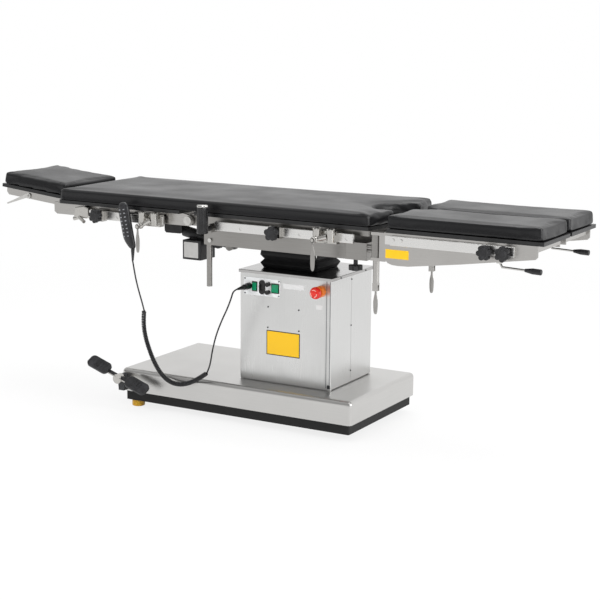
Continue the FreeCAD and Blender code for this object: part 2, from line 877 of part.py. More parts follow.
def bearing_beam(side):
    """Cross beam with the lug that carries the cradle's pin for the side tilt."""
    x0, x1 = sorted((side * bearing_x0, side * (bearing_x0 + bearing_thick)))
    beam = block(x0, x1, -beam_half, beam_half, bearing_beam_z, board_bottom)
    lug = end_plate([(-cheek_foot_half, bearing_beam_z + 2), (cheek_foot_half, bearing_beam_z + 2),
                     (cheek_eye_r, pivot_z), (-cheek_eye_r, pivot_z)], x0, x1)
    beam = beam.fuse(lug).fuse(rod_x(x0, x1, 0, pivot_z, bearing_boss_r))
    return beam.cut(rod_x(x0 - 1, x1 + 1, 0, pivot_z, cross_pin_r + pin_fit)).removeSplitter()


def actuator_beam():
    """Cross beam at the head end with the two lugs and the pin that the back's actuator hangs from."""
    beam = block(head_beam_x, head_beam_x + head_beam_wide, -beam_half, beam_half,
                 head_beam_z, board_bottom)
    for side in (-1, 1):
        near = act_y + side * act_lug_gap
        y0, y1 = sorted((near, near + side * act_lug_thick))
        lug = side_plate([(act_pivot_x - act_lug_r, act_pivot_z), (act_pivot_x + act_lug_r, act_pivot_z),
                          (act_pivot_x + act_lug_r, board_bottom), (act_pivot_x - act_lug_r, board_bottom)],
                         y0, y1)
        beam = beam.fuse(lug).fuse(rod_y(act_pivot_x, y0, y1, act_pivot_z, act_lug_r))
    reach = act_lug_gap + act_lug_thick
    pin = rod_y(act_pivot_x, act_y - reach, act_y + reach, act_pivot_z, act_pin_r)
    return beam.fuse(pin).removeSplitter()


def leg_carrier():
    """Open box beam across the seat's end, with holes for the cross pins of the leg bearings."""
    wall = carrier_wall
    carrier = block(carrier_x0, carrier_x1, -carrier_half, carrier_half, carrier_z0, carrier_z1)
    carrier = carrier.cut(block(carrier_x0 + wall, carrier_x1 - wall, -carrier_half - 1, carrier_half + 1,
                                carrier_z0 + wall, carrier_z1 - wall))
    for side in (-1, 1):
        for z in cross_pin_zs:
            carrier = carrier.cut(rod_x(carrier_x1 - wall - 1, carrier_x1 + 1, side * post_y, z, leg_pin_r))
    return carrier


def seat_frame():
    """Welded frame: two side plates, four cross beams, the leg carrier and its bracket, the bolted pieces."""
    near_plate, far_plate = seat_side_plate(-1), seat_side_plate(1)
    drop_y = -plate_inner + drop_rod_r - 1
    near_plate = near_plate.fuse(rod_z(drop_rod_x, drop_y, drop_rod_low, board_bottom, drop_rod_r))
    leg_beam = block(plate_leg_x - leg_beam_wide, plate_leg_x, -beam_half, beam_half,
                     leg_beam_z, board_bottom)
    bracket = block(plate_leg_x, carrier_x0, -beam_half, beam_half, leg_beam_z, carrier_z1)
    boss = rod_y(grip_x, -rail_outer, -plate_outer, grip_z, grip_boss_r)
    bolt = rod_y(side_bolt_x, -plate_outer - side_bolt_long, -plate_outer, side_bolt_z, side_bolt_r)
    pieces = [near_plate.removeSplitter(), far_plate, actuator_beam(), bearing_beam(-1), bearing_beam(1),
              leg_beam, bracket, leg_carrier(), boss, bolt]
    for side in (-1, 1):
        inner, outer = side * (plate_inner - 3), side * (back_bar_outer + seat_gap)
        pin = rod_y(hinge_x, inner, outer, hinge_z, hinge_pin_r)
        pieces.append(pin.fuse(rod_y(hinge_x, outer, outer + side * hinge_head_long, hinge_z, hinge_head_r)))
        pieces.append(spread_bearing(side))
    return pieces


def spread_bearing(side):
    """Barrel that a leg's spindle turns in, held on the carrier beam by two cross pins."""
    y = side * post_y
    barrel = block(post_x0 + 5, spread_x, y - post_half_y, y + post_half_y, bearing_z0, bearing_z1)
    barrel = rounded(barrel, post_round, lambda edge: upright(edge) and edge.Vertexes[0].X < spread_x - 1)
    barrel = barrel.fuse(rod_z(spread_x, y, bearing_z0, bearing_z1, post_half_y))
    for z in cross_pin_zs:
        barrel = barrel.fuse(rod_x(carrier_x1 - carrier_wall, spread_x - spindle_r - 3, y, z, leg_pin_r))
    return barrel.cut(rod_z(spread_x, y, bearing_z0 - 1, bearing_z1 + 1, spindle_r + pin_fit))


def rail(x0, x1, spacer_inner, bolt_xs):
    solids = []
    for side in (-1, 1):
        y0, y1 = sorted((side * rail_inner, side * rail_outer))
        bar = rounded(block(x0, x1, y0, y1, rail_low_z, rail_top_z), rail_edge,
                      lambda edge: abs(edge.Vertexes[0].Y) > rail_outer - 0.01
                      and abs(edge.Vertexes[-1].Y) > rail_outer - 0.01)
        for x in bolt_xs:
            spacer = rod_y(x, side * rail_inner, side * spacer_inner, rail_mid_z, spacer_r)
            recess = rod_y(x, side * (rail_outer - 1.5), side * (rail_outer + 1), rail_mid_z, rail_bolt_r)
            bar = bar.fuse(spacer).cut(recess)
        solids.append(bar)
    return solids


def seat_board():
    half = torso_half - board_inset
    cut_half = cut_radius + board_inset
    board = plan_plate([(seat_board_x0, -half), (seat_pad_end - 3, -half), (lobe_reach - 5, -lobe_inner_y),
                        (lobe_reach - 5, lobe_inner_y), (seat_pad_end - 3, half), (seat_board_x0, half)],
                       board_bottom, pad_bottom)
    board = board.cut(rod_z(cut_centre_x, 0, board_bottom - 1, pad_bottom + 1, cut_half))
    return board.cut(block(cut_centre_x, lobe_reach, -cut_half, cut_half, board_bottom - 1, pad_bottom + 1))


def seat_pad():
    pad = plan_plate([(fold_seat_x, -torso_half), (seat_pad_end, -torso_half), (lobe_reach, -lobe_inner_y),
                      (lobe_reach, lobe_inner_y), (seat_pad_end, torso_half), (fold_seat_x, torso_half)],
                     pad_bottom, pad_top)
    pad = pad.cut(rod_z(cut_centre_x, 0, pad_bottom - 1, pad_top + 1, cut_radius))
    pad = pad.cut(block(cut_centre_x, lobe_reach + 1, -cut_radius, cut_radius, pad_bottom - 1, pad_top + 1))
    return rounded(pad, pad_edge, lambda edge: level_at(edge, pad_top)
                   and edge.BoundBox.XMax > fold_seat_x + 0.01)


def pad_fold():
    pad = block(fold_head_x, fold_seat_x, -torso_half, torso_half, pad_bottom, pad_top)
    return rounded(pad, pad_edge, lambda edge: level_at(edge, pad_top)
                   and (level_y(edge, torso_half) or level_y(edge, -torso_half)))


def back_pad():
    pad = block(-back_pad_end, fold_head_x, -torso_half, torso_half, pad_bottom, pad_top)
    pad = rounded(pad, pad_corner, lambda edge: upright(edge) and edge.Vertexes[0].X < fold_head_x - 1)
    return rounded(pad, pad_edge, lambda edge: level_at(edge, pad_top)
                   and edge.BoundBox.XMin < fold_head_x - 0.01)


# Rail clamps


def rail_jaw(x0, x1):
    """Hook that grips the rail from the front, with a lip behind its top and bottom edges."""
    clear = seat_gap
    front = -rail_outer - 10
    jaw = block(x0, x1, front, -rail_inner + 4, rail_low_z - 5, rail_top_z + 5)
    slot = block(x0 - 1, x1 + 1, -rail_outer - clear, -rail_inner + clear,
                 rail_low_z - clear, rail_top_z + clear)
    back = block(x0 - 1, x1 + 1, -rail_inner, -rail_inner + 5, rail_low_z + 5, rail_top_z - 5)
    return jaw.cut(slot).cut(back)


def toothed_crown(x, y, z0, z1, radius, bore_r, teeth):
    """Boss whose top face is cut into radial V teeth, so a holder locks at fixed angles."""
    boss = rod_z(x, y, z0, z1, radius)
    notch_deep = 5.0
    notch_half = math.pi * radius / teeth * 0.45
    for index in range(teeth):
        notch = end_plate([(-notch_half, z1 + 0.1), (notch_half, z1 + 0.1), (0, z1 - notch_deep)],
                          0, radius + 1)
        notch.rotate(V(0, 0, 0), V(0, 0, 1), index * 360.0 / teeth)
        notch.translate(V(x, y, 0))
        boss = boss.cut(notch)
    return boss.cut(rod_z(x, y, z0 - 1, z1 + 1, bore_r))


def crown_clamp(x, bolt_z):
    jaw = rail_jaw(x - clamp_half, x + clamp_half)
    low, high = rail_low_z + 2, rail_top_z + crown_rise
    body = jaw.fuse(block(x - clamp_half, x + clamp_half, crown_y, -rail_outer - 9, low, rail_top_z - 6))
    for side in (-1, 1):
        body = body.fuse(rod_z(x + side * crown_dx, crown_y, low, high, crown_r))
    saddle = rod_y(x, crown_y - 20, -rail_outer - 10.1, rail_top_z + 4, 14.0)
    body = body.cut(saddle)
    for side in (-1, 1):
        x_c = x + side * crown_dx
        body = body.cut(rod_z(x_c, crown_y, low - 1, high + 6, crown_r))
        body = body.fuse(toothed_crown(x_c, crown_y, low, high, crown_r, crown_bore_r, crown_teeth))
    arm_start = V(x + 14, crown_y - 5, rail_mid_z + 4)
    arm_end = V(x + lever_dx, lever_y + 18, bolt_z)
    arm = Part.makeCone(9.0, 6.0, arm_end.sub(arm_start).Length, arm_start, arm_end.sub(arm_start))
    knuckle = Part.makeSphere(knuckle_r, arm_end)
    for side in (-1, 1):
        arm = arm.cut(rod_z(x + side * crown_dx, crown_y, low - 50, high + 20, crown_bore_r))
    body = body.fuse(arm).fuse(knuckle)
    body = body.fuse(rod_y(x + lever_dx, lever_y - 5, lever_y + 18, bolt_z, lever_bolt_r))
    return body


def blade_lever(x, y, z, length, ring_r, hole_r):
    """Ring, neck and flat spoon-shaped blade, cut from one outline."""
    neck, wide, tip = blade_neck_half, blade_half, blade_tip_half
    outline = [(x - neck, z), (x - neck, z - ring_r - 8), (x - wide, z - ring_r - 28),
               (x - wide, z - length * 0.62), (x - tip, z - length), (x + tip, z - length),
               (x + wide, z - length * 0.62), (x + wide, z - ring_r - 28), (x + neck, z - ring_r - 8),
               (x + neck, z)]
    blade = side_plate(outline, y - blade_thick / 2, y + blade_thick / 2)
    ring = rod_y(x, y - blade_ring_half, y + blade_ring_half, z, ring_r)
    lever = blade.fuse(ring).cut(rod_y(x, y - 6, y + 6, z, hole_r))
    return lever.removeSplitter()


def star_knob(lobes, tip_r, valley_r, thick, hub_r, hub_long):
    """Star grip along +Z from the hub: each lobe is one arc from valley to valley."""
    arcs = []
    step = 2 * math.pi / lobes

    def at(radius, angle):
        return V(radius * math.cos(angle), radius * math.sin(angle), hub_long)

    for index in range(lobes):
        mid = index * step
        arc = Part.Arc(at(valley_r, mid - step / 2), at(tip_r, mid), at(valley_r, mid + step / 2))
        arcs.append(arc.toShape())
    grip = Part.Face(Part.Wire(arcs)).extrude(V(0, 0, thick))
    crown = Part.makeCone(valley_r - 1, valley_r - 5, 3, V(0, 0, hub_long + thick), V(0, 0, 1))
    return grip.fuse(Part.makeCylinder(hub_r, hub_long)).fuse(crown)


def front_knob(x, y, z, lobes, spin):
    """Star knob on a spindle that points at the operator; y is the face it turns against."""
    knob = star_knob(lobes, knob_tip_r, 17.5, 16.0, 8.0, 10.0)
    knob.rotate(V(0, 0, 0), V(0, 0, 1), spin)
    knob.rotate(V(0, 0, 0), V(1, 0, 0), 90)
    knob.translate(V(x, y - seat_gap, z))
    return knob


def knob_block(x0, x1):
    """Plain rail clamp block that a star knob tightens."""
    jaw = rail_jaw(x0, x1)
    return jaw.fuse(block(x0, x1, knob_face_y, -rail_outer - 9, rail_low_z - 3, rail_top_z + 5))


def side_crank():
    """Fluted grip that stands on a short arm and turns with it about the boss on the side plate."""
    low, high = grip_z - grip_below, grip_z + grip_above
    grip = rod_z(grip_x, grip_y, low, high, grip_r)
    grip = rounded(grip, 3.0, lambda edge: level_at(edge, low) or level_at(edge, high))
    for index in range(grip_flutes):
        angle = 2 * math.pi * index / grip_flutes
        x = grip_x + (grip_r + 1.2) * math.cos(angle)
        y = grip_y + (grip_r + 1.2) * math.sin(angle)
        grip = grip.cut(rod_z(x, y, low + 8, high - 8, flute_r))
    return grip.fuse(rod_y(grip_x, grip_y + grip_r - 2, -rail_outer - seat_gap, grip_z, grip_arm_r))


# Back section


def back_frame():
    frame = None
    for side in (-1, 1):
        y0, y1 = sorted((side * back_bar_inner, side * back_bar_outer))
        bar = side_plate([(back_bar_end, back_bar_z0 + 8), (back_bar_end + 12, back_bar_z0),
                          (hinge_x, back_bar_z0), (hinge_x, board_bottom - 4), (hinge_x - 20, board_bottom),
                          (back_bar_end, board_bottom)], y0, y1)
        bar = bar.fuse(rod_y(hinge_x, y0, y1, hinge_z, lug_reach + 1))
        bar = bar.cut(rod_y(hinge_x, y0 - 1, y1 + 1, hinge_z, hinge_pin_r + pin_fit))
        frame = bar if frame is None else frame.fuse(bar)
    low = board_bottom - back_cross_deep
    for x0 in back_cross_xs:
        frame = frame.fuse(block(x0, x0 + back_cross_wide, -back_bar_inner, back_bar_inner,
                                 low, board_bottom))
    shaft = rod_y(head_hinge_x, -back_bar_inner, back_bar_inner, head_hinge_z, head_pin_r)
    frame = frame.fuse(shaft)
    for side in (-1, 1):
        near = act_y + side * cheek_gap
        y0, y1 = sorted((near, near + side * act_cheek_thick))
        x, z = act_eye_x, act_eye_z
        cheek = side_plate([(x - 42, low), (x + 48, low), (x + 22, z + 25), (x + 20, z - 12),
                            (x + 14, z - 18), (x - 16, z - 18), (x - 22, z - 12), (x - 24, z + 22)], y0, y1)
        slot_half = act_slot_travel + act_eye_pin_r + 1
        slot = block(x - slot_half, x + slot_half, y0 - 1, y1 + 1, z - act_slot_half, z + act_slot_half)
        frame = frame.fuse(cheek.cut(slot))
    reach = cheek_gap + act_cheek_thick
    tie_x1 = back_cross_xs[-1] + back_cross_wide
    frame = frame.fuse(block(back_cross_xs[-2], tie_x1, act_y - reach, act_y + reach, low, board_bottom))
    return frame.removeSplitter()


def back_board():
    half = torso_half - board_inset
    board = block(-back_pad_end - 3, back_board_x1, -half, half, board_bottom, pad_bottom)
    return rounded(board, pad_corner, lambda edge: upright(edge) and edge.Vertexes[0].X < back_board_x1 - 1)


def head_clamp():
    """Cast block on the bar that locks the head section's arms, with its capped pin and cam lever."""
    x, z = head_clamp_x, board_bottom
    back = -back_bar_outer
    front = back - head_clamp_thick
    casting = side_plate([(x - 32, z - 43), (x + 22, z - 45), (x + 31, z - 34), (x + 31, z - 8),
                          (x + 12, z - 2), (x - 26, z - 8)], front, back)
    casting = rounded(casting, 3.0, lambda edge: level_y(edge, front))
    pin = rod(V(x - 38, back - 16, z - 50), V(x, back - 16, z - 40), 7.0)
    cam = rod(V(x - 8, front, z - 42), V(x + 24, front - 14, z - 54), 6.0)
    return casting.fuse(pin).fuse(cam)


def actuator_place(shape):
    """Moves a piece drawn along +X from the rear pivot onto the actuator's real line."""
    rise = math.degrees(math.atan2(act_eye_z - act_pivot_z, act_eye_x - act_pivot_x))
    shape.rotate(V(0, 0, 0), V(0, 1, 0), -rise)
    shape.translate(V(act_pivot_x, act_y, act_pivot_z))
    return shape


def actuator_length():
    return math.hypot(act_eye_x - act_pivot_x, act_eye_z - act_pivot_z)


def back_actuator():
    """Tube and gear head in a line, with the motor box hung across them."""
    full = actuator_length()
    tube = rod_x(60, full - 50, 0, 0, act_tube_r)
    gear_head = block(act_head_x0, act_head_x1, -act_tube_r, act_tube_r, -act_tube_r - 2, act_tube_r + 2)
    gear_head = gear_head.makeChamfer(6.0, [edge for edge in gear_head.Edges if edge.BoundBox.XLength > 5])
    eye = rod_y(0, -act_eye_r, act_eye_r, 0, 13.0).fuse(block(0, act_head_x0 + 2, -10, 10, -10, 10))
    body = tube.fuse(gear_head).fuse(eye)
    body = actuator_place(body.cut(rod_y(0, -30, 30, 0, act_pin_r + pin_fit)))
    bore = actuator_place(rod_x(act_bore_start, full, 0, 0, act_rod_r + pin_fit))
    motor = block(motor_x0, motor_x1, act_y - 52, act_y + 40, motor_top - motor_high, motor_top)
    motor = rounded(motor, 4.0, upright)
    neck = block(motor_x0 + 8, motor_x1, act_y - 16, act_y + 16, motor_top - 6, motor_top + 10)
    return body.fuse(motor).fuse(neck).cut(bore)


def back_actuator_rod():
    full = actuator_length()
    shaft = rod_x(act_bore_start + 14, full - 10, 0, 0, act_rod_r)
    eye = rod_y(full, -act_eye_r + 1, act_eye_r - 1, 0, act_eye_r)
    reach = cheek_gap + act_cheek_thick + 2
    pin = rod_y(full, -reach, reach, 0, act_eye_pin_r)
    return actuator_place(shaft.fuse(eye).fuse(pin))


def handset():
    half_w, half_d = handset_wide / 2.0, handset_deep / 2.0
    sections = []
    outline = ((0, 0.86, 0.8), (8, 1.0, 1.0), (60, 0.98, 1.0), (120, 0.9, 0.9), (handset_high, 0.62, 0.66))
    for drop, width, depth in outline:
        w, d = half_w * width, half_d * depth
        c = 6.0 * width
        points = [V(-w + c, -d, -drop), V(w - c, -d, -drop), V(w, -d + c, -drop), V(w, d - c, -drop),
                  V(w - c, d, -drop), V(-w + c, d, -drop), V(-w, d - c, -drop), V(-w, -d + c, -drop)]
        sections.append(Part.makePolygon(points + points[:1]))
    body = Part.makeLoft(sections, True, True)
    relief = Part.makeCone(6.0, lead_r + 1.2, relief_long, V(0, 0, -handset_high), V(0, 0, -1))
    body = body.fuse(relief)
    body.rotate(V(0, 0, 0), V(0, 1, 0), -handset_lean)
    body.translate(V(handset_top_x, handset_y, handset_top_z))
    return body


def handset_hook():
    x0, x1 = handset_top_x + hook_dx - hook_half, handset_top_x + hook_dx + hook_half
    back_y = handset_y + handset_deep / 2.0
    z0, z1 = rail_low_z + 6, rail_top_z + seat_gap
    behind = -rail_inner + seat_gap
    hook = block(x0, x1, back_y - hook_thick, -rail_outer - seat_gap, z0, z1 + hook_thick)
    hook = hook.fuse(block(x0, x1, -rail_outer - 1, behind + hook_thick, z1, z1 + hook_thick))
    return hook.fuse(block(x0, x1, behind, behind + hook_thick, z1 - 9, z1 + 1))


# Head section


def head_frame():
    profile = [(head_frame_far + 10, head_frame_z), (head_frame_near, head_frame_z),
               (head_frame_near, board_bottom), (head_frame_far, board_bottom),
               (head_frame_far, head_frame_z + 10)]
    box = side_plate(profile, -head_frame_half, head_frame_half)
    room_half = head_frame_half - head_frame_wall
    far_room = (head_frame_far + 8, head_web_x - head_web_half)
    near_room = (head_web_x + head_web_half, head_frame_near - 8)
    for x0, x1 in (far_room, near_room):
        box = box.cut(block(x0, x1, -room_half, room_half, head_frame_z - 1, board_bottom - 3))
    for side in (-1, 1):
        y0, y1 = sorted((side * (room_half - head_arm_thick), side * room_half))
        arm = block(head_frame_near - 2, head_hinge_x, y0, y1,
                    head_hinge_z - head_arm_half_high, head_hinge_z + head_arm_half_high)
        arm = arm.fuse(rod_y(head_hinge_x, y0, y1, head_hinge_z, head_arm_eye_r))
        box = box.fuse(arm)
        box = box.cut(rod_y(head_hinge_x, y0 - 1, y1 + 1, head_hinge_z, head_pin_r + pin_fit))
    pin = rod_y(head_lever_x, -head_frame_half - 7, -head_frame_half, head_lever_z, head_lever_pin_r)
    return box.removeSplitter().fuse(pin)


def head_lever():
    y0, y1 = -head_frame_half - 5, -head_frame_half - 1
    x, z = head_lever_x, head_lever_z
    blade = side_plate([(x + 6, z + 8), (x + 9, z - 6), (x - 8, z - 9), (x - 94, z - 46), (x - 97, z - 42),
                        (x - 8, z + 6)], y0, y1)
    blade = blade.fuse(rod_y(x, y0, y1, z, head_lever_boss_r))
    return blade.cut(rod_y(x, y0 - 1, y1 + 1, z, head_lever_pin_r + pin_fit))


def head_board():
    half = head_half + head_board_over
    return block(head_pad_far - head_board_over, head_pad_near - 2, -half, half, board_bottom, pad_bottom)


def head_pad():
    return rounded_slab(head_pad_far, head_pad_near, -head_half, head_half, pad_bottom, pad_top,
                        pad_corner, pad_edge)


# Leg sections, drawn for the operator side and mirrored for the far side

def leg_post():
    """Yoke of two caps and two cheeks round the bearing barrel; the leg's tongue sits between the cheeks.

    The spindle runs down through the barrel into a round tube with a forked foot."""
    head = block(post_x0 + 1, post_x1, post_y - post_half_y, post_y + post_half_y, post_low, post_top)
    head = rounded(head, post_round, lambda edge: upright(edge) and edge.Vertexes[0].X < post_x0 + 2)
    head = head.cut(block(post_x0, cheek_x0, post_y - 2 * post_half_y, post_y + 2 * post_half_y,
                          post_low + post_cap, post_top - post_cap))
    slot_half = tongue_half + seat_gap
    head = head.cut(block(cheek_x0 - 3, post_x1 + 1, post_y - slot_half, post_y + slot_half,
                          post_low - 1, post_top + 1))
    spindle = rod_z(spread_x, post_y, post_low + 1, post_top - 1, spindle_r)
    tube = rod_z(spread_x, post_y, post_ring_z + 16, post_low, post_tube_r)
    fork = block(spread_x - 9, spread_x + 9, post_y - 8, post_y + 8, post_ring_z - 8, post_ring_z + 18)
    fork_half = blade_ring_half + seat_gap
    fork = fork.cut(block(spread_x - 14, spread_x + 14, post_y - fork_half, post_y + fork_half,
                          post_ring_z - 20, post_ring_z + 11))
    ring_pin = rod_y(spread_x, post_y - 7.5, post_y + 7.5, post_ring_z, post_pin_r)
    hinge_pin = rod_y(fold_x, post_y - post_half_y, post_y + post_half_y, fold_z, fold_pin_r)
    body = head.fuse(spindle).fuse(tube).fuse(fork)
    return body.fuse(ring_pin).fuse(hinge_pin).removeSplitter()


def leg_outline():
    """Side plate that is deep at the post and tapers towards the foot end."""
    x, z = leg_plate_start, board_bottom
    deep = [(x, z - 72), (x + 5, z - 86), (x + 14, z - 95), (x + 28, z - 99.5), (x + 49, z - 101),
            (x + 84, z - 100)]
    return deep + [(x + 258, z - 77), (x + 499, z - 41), (x + 506, z - 34), (x + 506, z), (x, z)]


def leg_tongue():
    """Plate that swings between the post's cheeks, with the short bar that joins it to the side plate."""
    y0, y1 = post_y - tongue_half, post_y + tongue_half
    low, high = board_bottom - tongue_deep, board_bottom - 4
    tongue = side_plate([(fold_x, fold_z - fold_eye_r), (tongue_bar_x1, low), (tongue_bar_x1, high),
                         (tongue_bar_x1 - 30, high), (fold_x, fold_z + fold_eye_r)], y0, y1)
    tongue = tongue.fuse(rod_y(fold_x, y0, y1, fold_z, fold_eye_r))
    return tongue.cut(rod_y(fold_x, y0 - 1, y1 + 1, fold_z, fold_pin_r + pin_fit)).removeSplitter()


def leg_frame():
    """Welded frame: tapered side plate, inner bar, five cross bars and the tongue, with its rail outside."""
    plate_in = -leg_outer + leg_plate_thick
    bar_low = board_bottom - leg_bar_deep
    outer = side_plate(leg_outline(), -leg_outer, plate_in)
    inner = block(leg_bar_xs[0], leg_bar_xs[-1] + leg_bar_wide, leg_inner_y, leg_inner_y + leg_plate_thick,
                  board_bottom - leg_inner_deep, board_bottom)
    bars = [block(x0, x0 + leg_bar_wide, plate_in, leg_inner_y, bar_low, board_bottom) for x0 in leg_bar_xs]
    front_y = -leg_cut_y - 26
    front_bar = block(tongue_bar_x0, tongue_bar_x1, post_y + tongue_half, front_y, bar_low, board_bottom)
    cut_bar = block(tongue_bar_x0, leg_bar_xs[0], front_y, front_y + leg_plate_thick, bar_low, board_bottom)
    tongue_bar = block(tongue_bar_x0, tongue_bar_x1, plate_in, post_y - tongue_half,
                       board_bottom - tongue_deep, board_bottom)
    lever_bar = block(leg_lever_x - 10, leg_lever_x + 10, plate_in, leg_lever_y + 10,
                      board_bottom - 26, board_bottom - 16)
    lever_stub = rod_z(leg_lever_x, leg_lever_y, leg_lever_z + 8, board_bottom - 26, 6.0)
    pin = rod_y(leg_lever_x, leg_lever_y - 8, leg_lever_y + 8, leg_lever_z + 12, lever_pin_r)
    rail_y = -leg_outer - rail_thick
    bar = block(leg_rail_x0, leg_rail_x1, rail_y, -leg_outer,
                leg_rail_z - rail_high / 2, leg_rail_z + rail_high / 2)
    bar = rounded(bar, rail_edge, lambda edge: level_y(edge, rail_y))
    bolts = [rod_y(x, rail_y - leg_bolt_long, rail_y, leg_rail_z + 2, leg_bolt_r) for x in leg_bolt_xs]
    return ([outer, inner] + bars + [front_bar, cut_bar, tongue_bar, leg_tongue()]
            + [lever_bar.fuse(lever_stub).fuse(pin), bar] + bolts)


def leg_lever():
    """Bent rod to the gas spring's valve, with a moulded grip on its end."""
    x, y, z = leg_lever_x, leg_lever_y, leg_lever_z
    fork = block(x - 7, x + 7, y - 10, y - 6 - seat_gap, z - 4, z + 18)
    fork = fork.fuse(block(x - 7, x + 7, y + 6 + seat_gap, y + 10, z - 4, z + 18))
    fork = fork.fuse(block(x - 7, x + 7, y - 10, y + 10, z - 6, z + 4))
    fork = fork.cut(rod_y(x, y - 11, y + 11, z + 12, lever_pin_r + pin_fit))
    corner = V(x + 8, y, lever_bend_z)
    stem = rod(V(x, y, z - 4), corner, lever_rod_r)
    bend = Part.makeSphere(lever_rod_r, corner)
    arm = rod(corner, V(lever_grip_x + 14, y, lever_bend_z - 3.2), lever_rod_r)
    along = V(1, 0, -0.03).normalize()
    start = V(lever_grip_x, y, lever_bend_z - 2.7)
    taper = lever_grip_long - 29.0
    shoulder = start.add(V(along).multiply(taper))
    grip = Part.makeCone(5.0, lever_grip_r, taper, start, along)
    handle = rod(shoulder, start.add(V(along).multiply(lever_grip_long)), lever_grip_r)
    tip_x = lever_grip_x + lever_grip_long - lever_grip_r
    handle = handle.makeFillet(3.0, [edge for edge in handle.Edges if edge.BoundBox.XMin > tip_x])
    metal = fork.fuse(stem).fuse(bend).fuse(arm)
    return [metal, grip.fuse(handle).cut(arm)]


def leg_plan(inset, end_over):
    y_out, y_in = -leg_outer + inset, -leg_gap_half - inset
    return [(leg_start + inset, y_out), (leg_pad_end + end_over, y_out), (leg_pad_end + end_over, y_in),
            (leg_cut_x, y_in), (leg_start + inset, -leg_cut_y)]


def leg_board():
    return plan_plate(leg_plan(2.0, leg_board_over), board_bottom, pad_bottom)


def leg_pad():
    pad = plan_plate(leg_plan(0.0, 0.0), pad_bottom, pad_top)
    pad = rounded(pad, pad_corner, lambda edge: upright(edge) and edge.Vertexes[0].X > leg_pad_end - 1)
    return rounded(pad, pad_edge, lambda edge: level_at(edge, pad_top))


# Handset cord


def tube_along(points, radius, label):
    """Straight runs joined by tangent arcs, swept by a round section."""
    edges = []
    here = points[0]
    radii = []
    for index in range(1, len(points) - 1):
        corner = points[index]
        before = points[index - 1].sub(corner)
        after = points[index + 1].sub(corner)
        shorter = min(before.Length, after.Length)
        turn = math.pi - before.getAngle(after)
        reach = 0.45 * shorter
        radii.append(reach / math.tan(turn / 2.0))
        start = corner.add(before.normalize().multiply(reach))
        end = corner.add(after.normalize().multiply(reach))
        middle = start.add(end).multiply(0.5)
        to_corner = corner.sub(middle)
        bulge = radii[-1] * (1.0 / math.cos(turn / 2.0) - 1.0)
        arc_mid = corner.sub(to_corner.normalize().multiply(bulge))
        edges.append(Part.LineSegment(here, start).toShape())
        edges.append(Part.Arc(start, arc_mid, end).toShape())
        here = end
    edges.append(Part.LineSegment(here, points[-1]).toShape())
    path = Part.Wire(edges)
    first = points[1].sub(points[0])
    section = Part.Wire([Part.Circle(points[0], first, radius).toShape()])
    tube = path.makePipeShell([section], True, False)
    ratio = tube.Volume / (math.pi * radius ** 2 * path.Length)
    print(label, "length", round(path.Length, 1), "volume ratio", round(ratio, 4),
          "smallest radius", round(min(radii), 1))
    return tube


def handset_plug():
    """Round plug with a ring and a tapered boot."""
    front = plug_y0
    body = rod_y(socket_x, front - 26, front, socket_z, 9.5)
    ring = rod_y(socket_x, front - 10, front - 2, socket_z, 11.0)
    boot = Part.makeCone(8.0, lead_r + 1.0, plug_long - 26, V(socket_x, front - 26, socket_z), V(0, -1, 0))
    return body.fuse(ring).fuse(boot)


def below_handset(drop):
    lean = math.radians(handset_lean)
    return V(handset_top_x + drop * math.sin(lean), handset_y, handset_top_z - drop * math.cos(lean))


def laid(route):
    """Points of the cord's route, moved with the handset that it hangs from."""
    return [V(x, y + handset_y - route_y, z * handset_top_z / route_top) for x, y, z in route]


def cord_nodes():
    relief_end = handset_high + relief_long
    upper = [below_handset(relief_end), below_handset(relief_end + 24)]
    upper += laid([(-519, -270, 476), (-512, -269, 446), (-503, -268, 415), (-494, -267, 387),
                   (-486, -267, 360)])
    curl = laid([(-486, -267, 360), (-490, -267, 322), (-484, -267, 274), (-468, -266, 227),
                 (-448, -265, 183), (-421, -263, 144), (-388, -261, 120), (-349, -258, 114),
                 (-309, -256, 125), (-268, -254, 148), (-241, -252, 168)])
    lower = laid([(-241, -252, 168), (-231, -252, 189), (-224, -253, 214), (-217, -255, 248),
                  (-199, -259, 306), (-173, -263, 361), (-152, -264, 400)])
    end_y = plug_y0 - plug_long
    lower += [V(socket_x - 1, end_y - 39.5, socket_z - 26), V(socket_x, end_y - 26.5, socket_z)]
    lower.append(V(socket_x, end_y, socket_z))
    save("handset_lead_upper", tube_along(upper, lead_r, "upper lead"))
    save("handset_curl", tube_along(curl, curl_r, "curly stretch"))
    save("handset_lead_lower", tube_along(lower, lead_r, "lower lead"))


def battery_and_control():
    deck_top = deck_z + deck_thick
    battery = block(battery_x0, battery_x1, -battery_half, battery_half, deck_top, deck_top + battery_high)
    control = block(control_x0, control_x1, -control_half, control_half, base_top, base_top + control_high)
    return [rounded(battery, 4.0, upright), rounded(control, 3.0, upright)]


